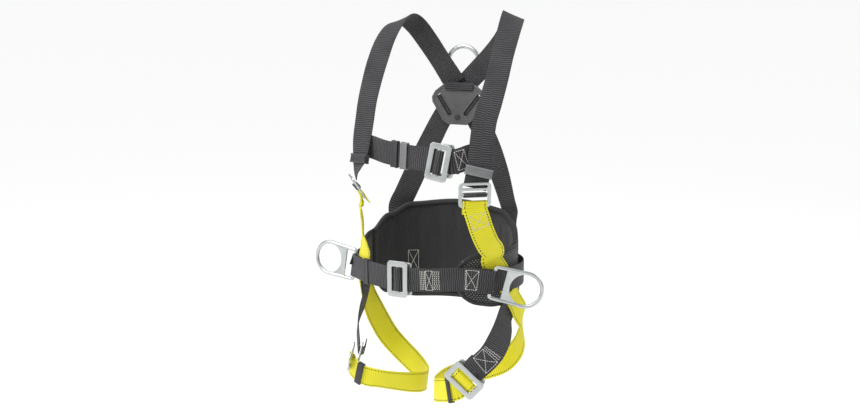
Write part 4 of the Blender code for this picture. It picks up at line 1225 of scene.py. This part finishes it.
def bevel_edges(bm, edges, width, segments=3):
    """Round some edges with the bevel's own defaults written out."""
    bmesh.ops.bevel(bm, geom=edges, offset=width, offset_type="OFFSET", segments=segments, profile=0.5,
                    affect="EDGES", material=-1, clamp_overlap=True)


def punched(outlines, thickness, edge):
    """A flat plate in the XY plane: the first outline is its edge, the others are its windows."""
    bm = bmesh.new()
    for outline in outlines:
        corners = [bm.verts.new((x, y, -thickness / 2)) for x, y in outline]
        for pair in zip([corners[-1], *corners], corners):
            bm.edges.new(pair)
    bmesh.ops.triangle_fill(bm, use_beauty=True, edges=bm.edges[:], normal=(0, 0, 1))
    top = bmesh.ops.extrude_face_region(bm, geom=bm.faces[:], use_keep_orig=True)
    raised = [v for v in top["geom"] if isinstance(v, bmesh.types.BMVert)]
    bmesh.ops.translate(bm, verts=raised, vec=(0, 0, thickness))
    bmesh.ops.recalc_face_normals(bm, faces=bm.faces)
    sharp = [e for e in bm.edges if len(e.link_faces) == 2 and e.calc_face_angle() > math.radians(60)]
    bevel_edges(bm, sharp, edge)
    return bm


def swept(points, radius, closed=True, sides=20):
    """A round rod along points that lie in the XY plane."""
    bm = bmesh.new()
    rings = []
    for k, point in enumerate(points):
        before = points[k - 1] if closed or k else point
        after = points[(k + 1) % len(points)] if closed or k + 1 < len(points) else point
        along = (Vector(after) - Vector(before)).normalized()
        turn = Matrix((UP, along.cross(UP), along)).transposed().to_4x4()
        place = Matrix.Translation(point) @ turn
        ring = bmesh.ops.create_circle(bm, segments=sides, radius=radius, matrix=place)
        rings.append(list({e for v in ring["verts"] for e in v.link_edges}))
    for k in range(0 if closed else 1, len(rings)):
        bmesh.ops.bridge_loops(bm, edges=rings[k - 1] + rings[k])
    if not closed:
        bmesh.ops.holes_fill(bm, edges=rings[0] + rings[-1], sides=0)
        bevel_edges(bm, rings[0] + rings[-1], radius * 0.25, 2)
    bmesh.ops.recalc_face_normals(bm, faces=bm.faces)
    return bm


print("points round a plate's corner:", len(rounded_rectangle(*PLATE_SIZE, 7.0)) // 4)

# %% [markdown]
# ## Putting metal in its place
# A shape is drawn in millimetres about its own middle, then scaled, turned and moved once. The same turn
# serves the metal and the webbing that runs through it.
# %% Functions that place a shape
def placed(bm, origin, turn):
    """A shape drawn in local millimetres, moved to its place in the model's metres."""
    bm.transform(Matrix.Scale(MM, 4))
    bm.transform(Matrix.Translation(to_model(origin)) @ turn.to_4x4())
    return bm


def fit(name, bm, origin, turn, finish, node):
    """Put a shape in its place, and let it stand for a measured part."""
    return stand_for(new_piece(name, placed(bm, origin, turn), finish, 50.0), node)


def fit_steel(node, bm, origin, turn):
    """A steel fitting in its place."""
    fit(node + "_steel", bm, origin, turn, BUCKLE_STEEL, node)


print("a shape 1000 mm long becomes", 1000 * MM, "m long")

# %% [markdown]
# ## Buckles and adjusters
# Each quick-release buckle is a front plate with a middle bar and a link behind it. The adjusters on
# the shoulder straps are frames with a slot for the shoulder strap and a sliding rod that locks it.
# %% Punch the buckles
window_width = (PLATE_SIZE[0] - 2 * PLATE_SIDE_BAR - PLATE_MIDDLE_BAR) / 2
window_shift = (window_width + PLATE_MIDDLE_BAR) / 2
plate_outlines = [rounded_rectangle(*PLATE_SIZE, 7.0, steps=8),
                  *(rounded_rectangle(window_width, PLATE_WINDOW_HEIGHT, 2.0, (side * window_shift, 0.0))
                    for side in (-1, 1))]
link_centre = (-(LINK_SIZE[0] - LINK_BAR) / 2, 0.0)
link_outlines = [rounded_rectangle(*LINK_SIZE, 6.0, link_centre, 8),
                 rounded_rectangle(LINK_SIZE[0] - 2 * LINK_BAR, PLATE_WINDOW_HEIGHT, 2.5, link_centre)]
BUCKLES = {"chest_buckle": (CHEST_PLATE, CHEST_LINK), "belt_buckle": (BELT_PLATE, BELT_LINK),
           "leg_buckle_left": (LEFT_LEG_PLATE, LEFT_LEG_LINK),
           "leg_buckle_right": (RIGHT_LEG_PLATE, RIGHT_LEG_LINK)}
for buckle, places in BUCKLES.items():
    for part, outlines, edge, (origin, along, up) in zip(("_plate", "_link"), (plate_outlines, link_outlines),
                                                         (0.7, 0.9), places):
        fit_steel(buckle + part, punched(outlines, BUCKLE_THICKNESS, edge), origin, axes(along, up))
print("buckles:", len(BUCKLES))

# %% Punch the adjusters and sweep their rods
ROD_HALF = 22.8
ROD_SHIFT = 1.0
for side, (origin, upwards, across) in ADJUSTERS.items():
    turn = axes(upwards, across)
    outlines = [rounded_rectangle(*reversed(ADJUSTER_SIZE), 8.0, steps=8),
                rounded_rectangle(5.0, 46.0, 2.0, (15.5, 0.0)),
                rounded_rectangle(21.0, 47.0, 2.5, (-2.0, 0.0))]
    fit_steel("torso_adjuster_frame_" + side, punched(outlines, ADJUSTER_THICKNESS, 0.8), origin, turn)
    rod = swept([(0.0, y, 0.0) for y in (-ROD_HALF, 0.0, ROD_HALF)], ADJUSTER_ROD, closed=False)
    fit_steel("torso_adjuster_rod_" + side, rod, Vector(origin) + turn @ Vector((ROD_SHIFT, 0.0, 0.0)), turn)
print("adjusters:", len(ADJUSTERS))

# %% [markdown]
# ## D-rings
# A D-ring is a rod bent to an arc with a straight bar that the webbing turns round. The work-positioning
# rings on the belt also have a forged web behind the arc, which leaves a slot for the belt by the bar.
# Rod and web are drawn apart and joined with a Boolean, so that they meet in clean edges.
# %% Functions that bend a ring
def ring_path(size):
    """Points round a D-ring: its straight bar on local Y, its arc along local X."""
    rod, half_spacing, reach = size
    corner, half_bar = 1.6 * rod, BAR_SHARE * half_spacing
    lower = [math.radians(180 + 90 * k / 5) for k in range(6)]
    arc = [math.radians(-90 + 180 * k / 32) for k in range(33)]
    upper = [math.radians(90 + 90 * k / 5) for k in range(6)]
    return [*((corner + corner * math.cos(a), corner - half_bar + corner * math.sin(a), 0.0) for a in lower),
            *((reach + half_spacing * math.cos(a), half_spacing * math.sin(a), 0.0) for a in arc),
            *((corner + corner * math.cos(a), half_bar - corner + corner * math.sin(a), 0.0) for a in upper)]


def ring_web(size):
    """Outline of the web between the arms: from the slot by the bar to the round eye."""
    rod, half_spacing, reach = size
    inner = BAR_SHARE * half_spacing + (1 - BAR_SHARE) * half_spacing * SIDE_WEB_START / reach
    eye = half_spacing - 0.75 * rod
    arc = [math.radians(90 + 180 * k / 40) for k in range(41)]
    return [(reach, half_spacing), *((reach + eye * math.cos(a), eye * math.sin(a)) for a in arc),
            (reach, -half_spacing), (SIDE_WEB_START, -inner), (SIDE_WEB_START, inner)]


def forge(rod, sheet):
    """Make one solid of a rod and a web."""
    union = rod.modifiers.new("forged in one", "BOOLEAN")
    union.operation = "UNION"
    union.object = sheet
    bpy.context.view_layer.update()
    forged = bpy.data.meshes.new_from_object(rod.evaluated_get(bpy.context.evaluated_depsgraph_get()))
    rod.modifiers.clear()
    rod.data = forged
    bpy.data.objects.remove(sheet)


def make_ring(node, size, place, web):
    """A ring in its place, with or without a web."""
    origin, outward, bar_direction = place
    rod = new_piece(node + "_steel", swept(ring_path(size), size[0]), RING_STEEL, 50.0)
    if web:
        forge(rod, new_piece(node + "_web", punched([ring_web(size)], SIDE_WEB_THICKNESS, 0.8), RING_STEEL))
    turn = axes(outward, bar_direction).to_4x4()
    rod.data.transform(Matrix.Translation(to_model(origin)) @ turn @ Matrix.Scale(MM, 4))
    rod.data.shade_smooth()
    rod.data.set_sharp_from_angle(angle=math.radians(50))
    stand_for(rod, node)
    print(node, len(rod.data.polygons), "faces")

# %% Bend the three rings
make_ring("side_ring_right", SIDE_RING, RIGHT_RING, True)
make_ring("side_ring_left", SIDE_RING, LEFT_RING, True)
make_ring("dorsal_ring", DORSAL_RING, (RING_BAR, (0.0, 0.0, 1.0), (1.0, 0.0, 0.0)), False)

# %% [markdown]
# ## Moulded nylon and elastic
# Keepers are short sleeves that hold loose ends of webbing: moulded nylon on the chest, shoulders and
# belt, and woven elastic on the legs. The dorsal plate is moulded nylon too, with a rim round it.
# %% Nylon and elastic finishes
def moulded_nylon(name, light, dark):
    """Nylon with the 0.9 mm grain of a spark-eroded mould, paler on its sharp outer edges."""
    finish, node = new_finish(name, 0.48, ior=1.53)
    place = node("TexCoord", out="Object")
    grain = node("TexNoise", {"Vector": place, "Scale": 1100.0, "Detail": 2.0})
    cloud = node("TexNoise", {"Vector": place, "Scale": 60.0, "Detail": 3.0})
    edge_pointiness = node("NewGeometry", out="Pointiness")
    # Where the surface is sharply convex, its pointiness mixes the colour towards the lighter one.
    edges = node("Math", [edge_pointiness, 9.0, -4.6], operation="MULTIPLY_ADD", use_clamp=True)
    share = node("Math", [cloud, 0.5, edges], operation="MULTIPLY_ADD", use_clamp=True)
    colour = node("Mix", {0: share, 6: paint(dark), 7: paint(light)}, 2, data_type="RGBA")
    return surface(finish, colour, grain, 0.0001, 0.7)


def woven_elastic():
    """Black woven elastic: close, wavering ribs, with painted shade in their grooves and a painted highlight on
    their crests.
    """
    finish, node = new_finish("black woven elastic", 0.75, Sheen_Weight=0.3)
    place = node("TexCoord", out="Object")
    rib = node("TexWave", {"Vector": place, "Scale": 220.0, "Distortion": 1.0}, 1, bands_direction="DIAGONAL")
    # The colour follows the rib's height: painted shade in the grooves and a painted highlight on the crests.
    colour = node("Mix", {0: rib, 6: paint("#141415"), 7: paint("#333234")}, 2, data_type="RGBA")
    return surface(finish, colour, rib, 0.0003)


DARK_NYLON = moulded_nylon("dark moulded nylon", "#48474C", "#242325")
GREY_NYLON = moulded_nylon("grey moulded nylon", "#8E8E8F", "#6A6A6B")
PLATE_NYLON = moulded_nylon("slate moulded nylon", "#6E6E6F", "#474748")
ELASTIC = woven_elastic()
print("moulded finishes:", DARK_NYLON.name, "|", GREY_NYLON.name, "|", PLATE_NYLON.name)

# %% [markdown]
# ## Keepers
# A keeper is a sleeve with a raised lip at each end. Its profile runs along the outside, over both lips,
# and back through the opening; each profile point is a rounded rectangle bridged to the next.
# %% A function that moulds a keeper
KEEPER_PLAY = 2.4
KEEPER_LIP = 0.5
EASED = 0.6


def make_keeper(node, strap, near, length, slot, finish, opening, wall, lip=KEEPER_LIP):
    """A sleeve round a strap: its length, its opening, and the thickness of its wall and lip."""
    middle = nearest(strap, near)
    turn = axes(on_strap(strap, middle + 3.0, 0.0) - on_strap(strap, middle - 3.0, 0.0),
                on_strap(strap, middle, 5.0) - on_strap(strap, middle, -5.0))
    half, flat, crest = length / 2, 2 * wall, 2 * (wall + lip)
    profile = [(half - 0.4, crest - EASED), (half - 1.0, crest), (half - 2.4, crest), (half - 3.2, flat),
               (3.2 - half, flat), (2.4 - half, crest), (1.0 - half, crest), (0.4 - half, crest - EASED),
               (-half, flat - EASED), (-half, 0.0), (half, 0.0), (half, flat - EASED)]
    bm = bmesh.new()
    loops = []
    for place, grow in profile:
        outline = rounded_rectangle(WEBBING_WIDTH + KEEPER_PLAY + grow, opening + grow, 0.8 + grow / 2,
                                    steps=5)
        ring = [bm.verts.new((place, x, y)) for x, y in outline]
        loops.append([bm.edges.new(pair) for pair in zip([ring[-1], *ring], ring)])
    for before, after in zip([loops[-1], *loops], loops):
        bmesh.ops.bridge_loops(bm, edges=before + after)
    bmesh.ops.recalc_face_normals(bm, faces=bm.faces)
    fit(node + "_sleeve", bm, on_strap(strap, middle, 0.0), turn, finish, node)
    print(node, length, "mm long")

# %% Mould the keepers
DARK, GREY, STRETCH = ("dark_nylon", DARK_NYLON), ("grey_nylon", GREY_NYLON), ("elastic", ELASTIC)
chest_strap = straps["chest_strap_right"]
make_keeper("chest_keeper_inner", chest_strap, (-34, -120, 230), 15.0, *DARK, 6.0, 1.5)
make_keeper("chest_keeper_outer", chest_strap, (-13, -125, 229), 15.0, *GREY, 6.0, 1.5)
make_keeper("shoulder_keeper_right", straps["shoulder_strap_right"], (-118, -102, 213), 17.0, *DARK, 8.8, 1.5)
make_keeper("shoulder_keeper_left", straps["shoulder_strap_left"], (130, -114, 206), 17.0, *GREY, 7.4, 1.5)
make_keeper("belt_keeper", straps["belt_webbing_right"], waist(-38), 14.0, *DARK, 4.0, 1.1)
make_keeper("leg_keeper_left", straps["leg_strap_left"], (89, -148, -195), 9.0, *STRETCH, 7.0, 1.2, 0.0)
make_keeper("leg_keeper_right", straps["leg_strap_right"], (-101, -139, -193), 13.0, *STRETCH, 7.0, 1.2, 0.0)

# %% [markdown]
# ## The dorsal plate
# A moulded plate holds the crossing straps in the middle of the back. Its rim and the rims of its two
# slots stand proud, so they are thicker plates with a window; two strips of webbing rise through the slots.
# %% Mould the dorsal plate and its rims
PLATE_CENTRE = (0.0, 91.5, 303.0)
PLATE_UP = (0.0, 0.17, 0.985)
PLATE_OUTLINE = [
    (-34, 40), (34, 40), (52, 26), (58, 14), (56, 4), (40, -18), (32, -30), (20, -39),
    (-20, -39), (-32, -30), (-40, -18), (-56, 4), (-58, 14), (-52, 26),
]
PLATE_THICKNESS = 4.5
PLATE_RIM = 6.2
SLOT_RIM = 5.8
SLOT_ANGLE = 54.0
SLOT_OFFSET = 30.0
plate_turn = axes((1.0, 0.0, 0.0), PLATE_UP)


def slot_outline(side, width, height, radius):
    """A rounded slot on one side of the plate, turned to lie across its strap."""
    spin = Matrix.Rotation(math.radians(side * SLOT_ANGLE), 2)
    return [tuple(spin @ Vector(point) + Vector((side * SLOT_OFFSET, 0.0)))
            for point in rounded_rectangle(width, height, radius)]


def plate_rim(name, outlines, thickness, edge):
    """A raised rim on the plate."""
    bm = placed(punched(outlines, thickness, edge), PLATE_CENTRE, plate_turn)
    add_extra(new_piece(name, bm, PLATE_NYLON, 50.0))


slots = {side: slot_outline(side, 50.0, 9.0, 3.0) for side in (-1, 1)}
fit("dorsal_plate_moulding", punched([PLATE_OUTLINE, *slots.values()], PLATE_THICKNESS, 1.2), PLATE_CENTRE,
    plate_turn, PLATE_NYLON, "dorsal_plate")
plate_rim("dorsal_plate_rim", [PLATE_OUTLINE, [(0.9 * x, 0.9 * y) for x, y in PLATE_OUTLINE]], PLATE_RIM, 0.9)
for side, word in ((-1, "right"), (1, "left")):
    rim_outlines = [slot_outline(side, 56.0, 15.0, 5.0), slots[side]]
    plate_rim("dorsal_plate_slot_rim_" + word, rim_outlines, SLOT_RIM, 0.7)
print("dorsal plate and", 1 + len(slots), "rims")

# %% Webbing in the plate's slots and over its top edge
SLOT_BULGE = [(-9.0, -3.6), (-4.0, -1.4), (-1.5, 0.6), (1.5, 0.6), (4.0, -1.4), (9.0, -3.6)]
SLOT_STRAP_WIDTH = 46.0
FOLD_WIDTH = 60.0
FOLD_RADIUS = 4.4
FOLD_LENGTH = 11.0
TOP_EDGE = 39.0
right, up, towards = plate_turn.transposed()
for side, word in ((-1, "right"), (1, "left")):
    through = (plate_turn @ Matrix.Rotation(side * math.radians(SLOT_ANGLE), 3, "Z")).transposed()[1]
    centre = Vector(PLATE_CENTRE) + right * side * SLOT_OFFSET
    bulge = [(*(centre + through * step + towards * depth), *towards) for step, depth in SLOT_BULGE]
    strip = weave("dorsal_slot_webbing_" + word, lay_out(bulge, SLOT_STRAP_WIDTH), BLACK_WEBBING)
    add_extra(strip)
top_edge = Vector(PLATE_CENTRE) + up * TOP_EDGE
fold = [(*(top_edge - up * FOLD_LENGTH + towards * FOLD_RADIUS), *towards),
        *turn_round(top_edge, up, -towards, FOLD_RADIUS, 0.0, 110.0)]
add_extra(weave("dorsal_plate_fold_webbing", lay_out(fold, FOLD_WIDTH), BLACK_WEBBING))
print("fold over the plate:", FOLD_WIDTH, "mm wide")

# %% The rivet at the plate's foot
RIVET_RADIUS = 5.5
RIVET_HEIGHT = 2.8
bm = bmesh.new()
bmesh.ops.create_cone(bm, cap_ends=True, segments=32, radius1=RIVET_RADIUS, radius2=RIVET_RADIUS,
                      depth=RIVET_HEIGHT, matrix=Matrix.Translation((0.0, -24.0, 4.0)))
bevel_edges(bm, [e for e in bm.edges if e.is_boundary or e.calc_face_angle() > 1.0], 0.9)
fit("dorsal_plate_rivet_head", bm, PLATE_CENTRE, plate_turn, DARK_NYLON, "dorsal_plate_rivet")
print("rivet head:", 2 * RIVET_RADIUS, "mm across")

# %% [markdown]
# ## Camera, light and floor
# A long lens about two metres away keeps the straps' proportions. Big soft lights suit black webbing:
# they draw the edge of each fold without a hard glare on the steel.
# %% Camera
LENS = 49.9
SENSOR = 36.0
DOWNWARD_TILT = 10.4
TURN_TO_LEFT = 25.0
camera_data = bpy.data.cameras.new("camera")
camera_data.sensor_width = SENSOR
camera_data.lens = LENS
camera_data.clip_end = 1000.0
camera = bpy.data.objects.new("camera", camera_data)
bpy.context.scene.collection.objects.link(camera)
camera.location = (0.940169, -2.173669, 0.120815)
camera.rotation_euler = (math.radians(90.0 - DOWNWARD_TILT), 0.0, math.radians(TURN_TO_LEFT))
bpy.context.scene.camera = camera
print("camera is", round(camera.location.length, 2), "m from the dorsal ring")

# %% Soft studio light and a pale floor
WORLD_LIGHT = 0.5
bpy.context.scene.view_settings.view_transform = "Standard"
world = bpy.data.worlds.new("studio")
world.use_nodes = True
world.node_tree.nodes["Background"].inputs["Color"].default_value = paint("#F7F9FB")
world.node_tree.nodes["Background"].inputs["Strength"].default_value = WORLD_LIGHT
bpy.context.scene.world = world


def add_light(name, kind, place, energy, **settings):
    """A soft light that looks at the middle of the harness."""
    light = bpy.data.lights.new(name, kind)
    light.energy = energy
    for key, value in settings.items():
        setattr(light, key, value)
    lamp = bpy.data.objects.new(name, light)
    lamp.location = place
    lamp.rotation_euler = (Vector((0.0, -0.1, -0.3)) - Vector(place)).to_track_quat("-Z", "Y").to_euler()
    bpy.context.scene.collection.objects.link(lamp)


add_light("sky", "SUN", (-1.0, -1.4, 3.6), 2.1, angle=math.radians(50.0))
add_light("key", "AREA", (-1.7, -1.7, 1.0), 22.0, size=1.2)
add_light("rim", "AREA", (1.8, 1.6, 0.9), 16.0, size=1.0)
FLOOR_DROP = 0.30
bm = bmesh.new()
bmesh.ops.create_grid(bm, x_segments=1, y_segments=1, size=400.0,
                      matrix=Matrix.Translation((0.0, 0.0, measured_box[0][2] - FLOOR_DROP)))
floor_paint = new_finish("matt white floor paint", 0.9, Base_Color=paint("#F4F4F2"))[0]
floor = new_piece("floor", bm, floor_paint)
print("floor is", FLOOR_DROP, "m below the harness")
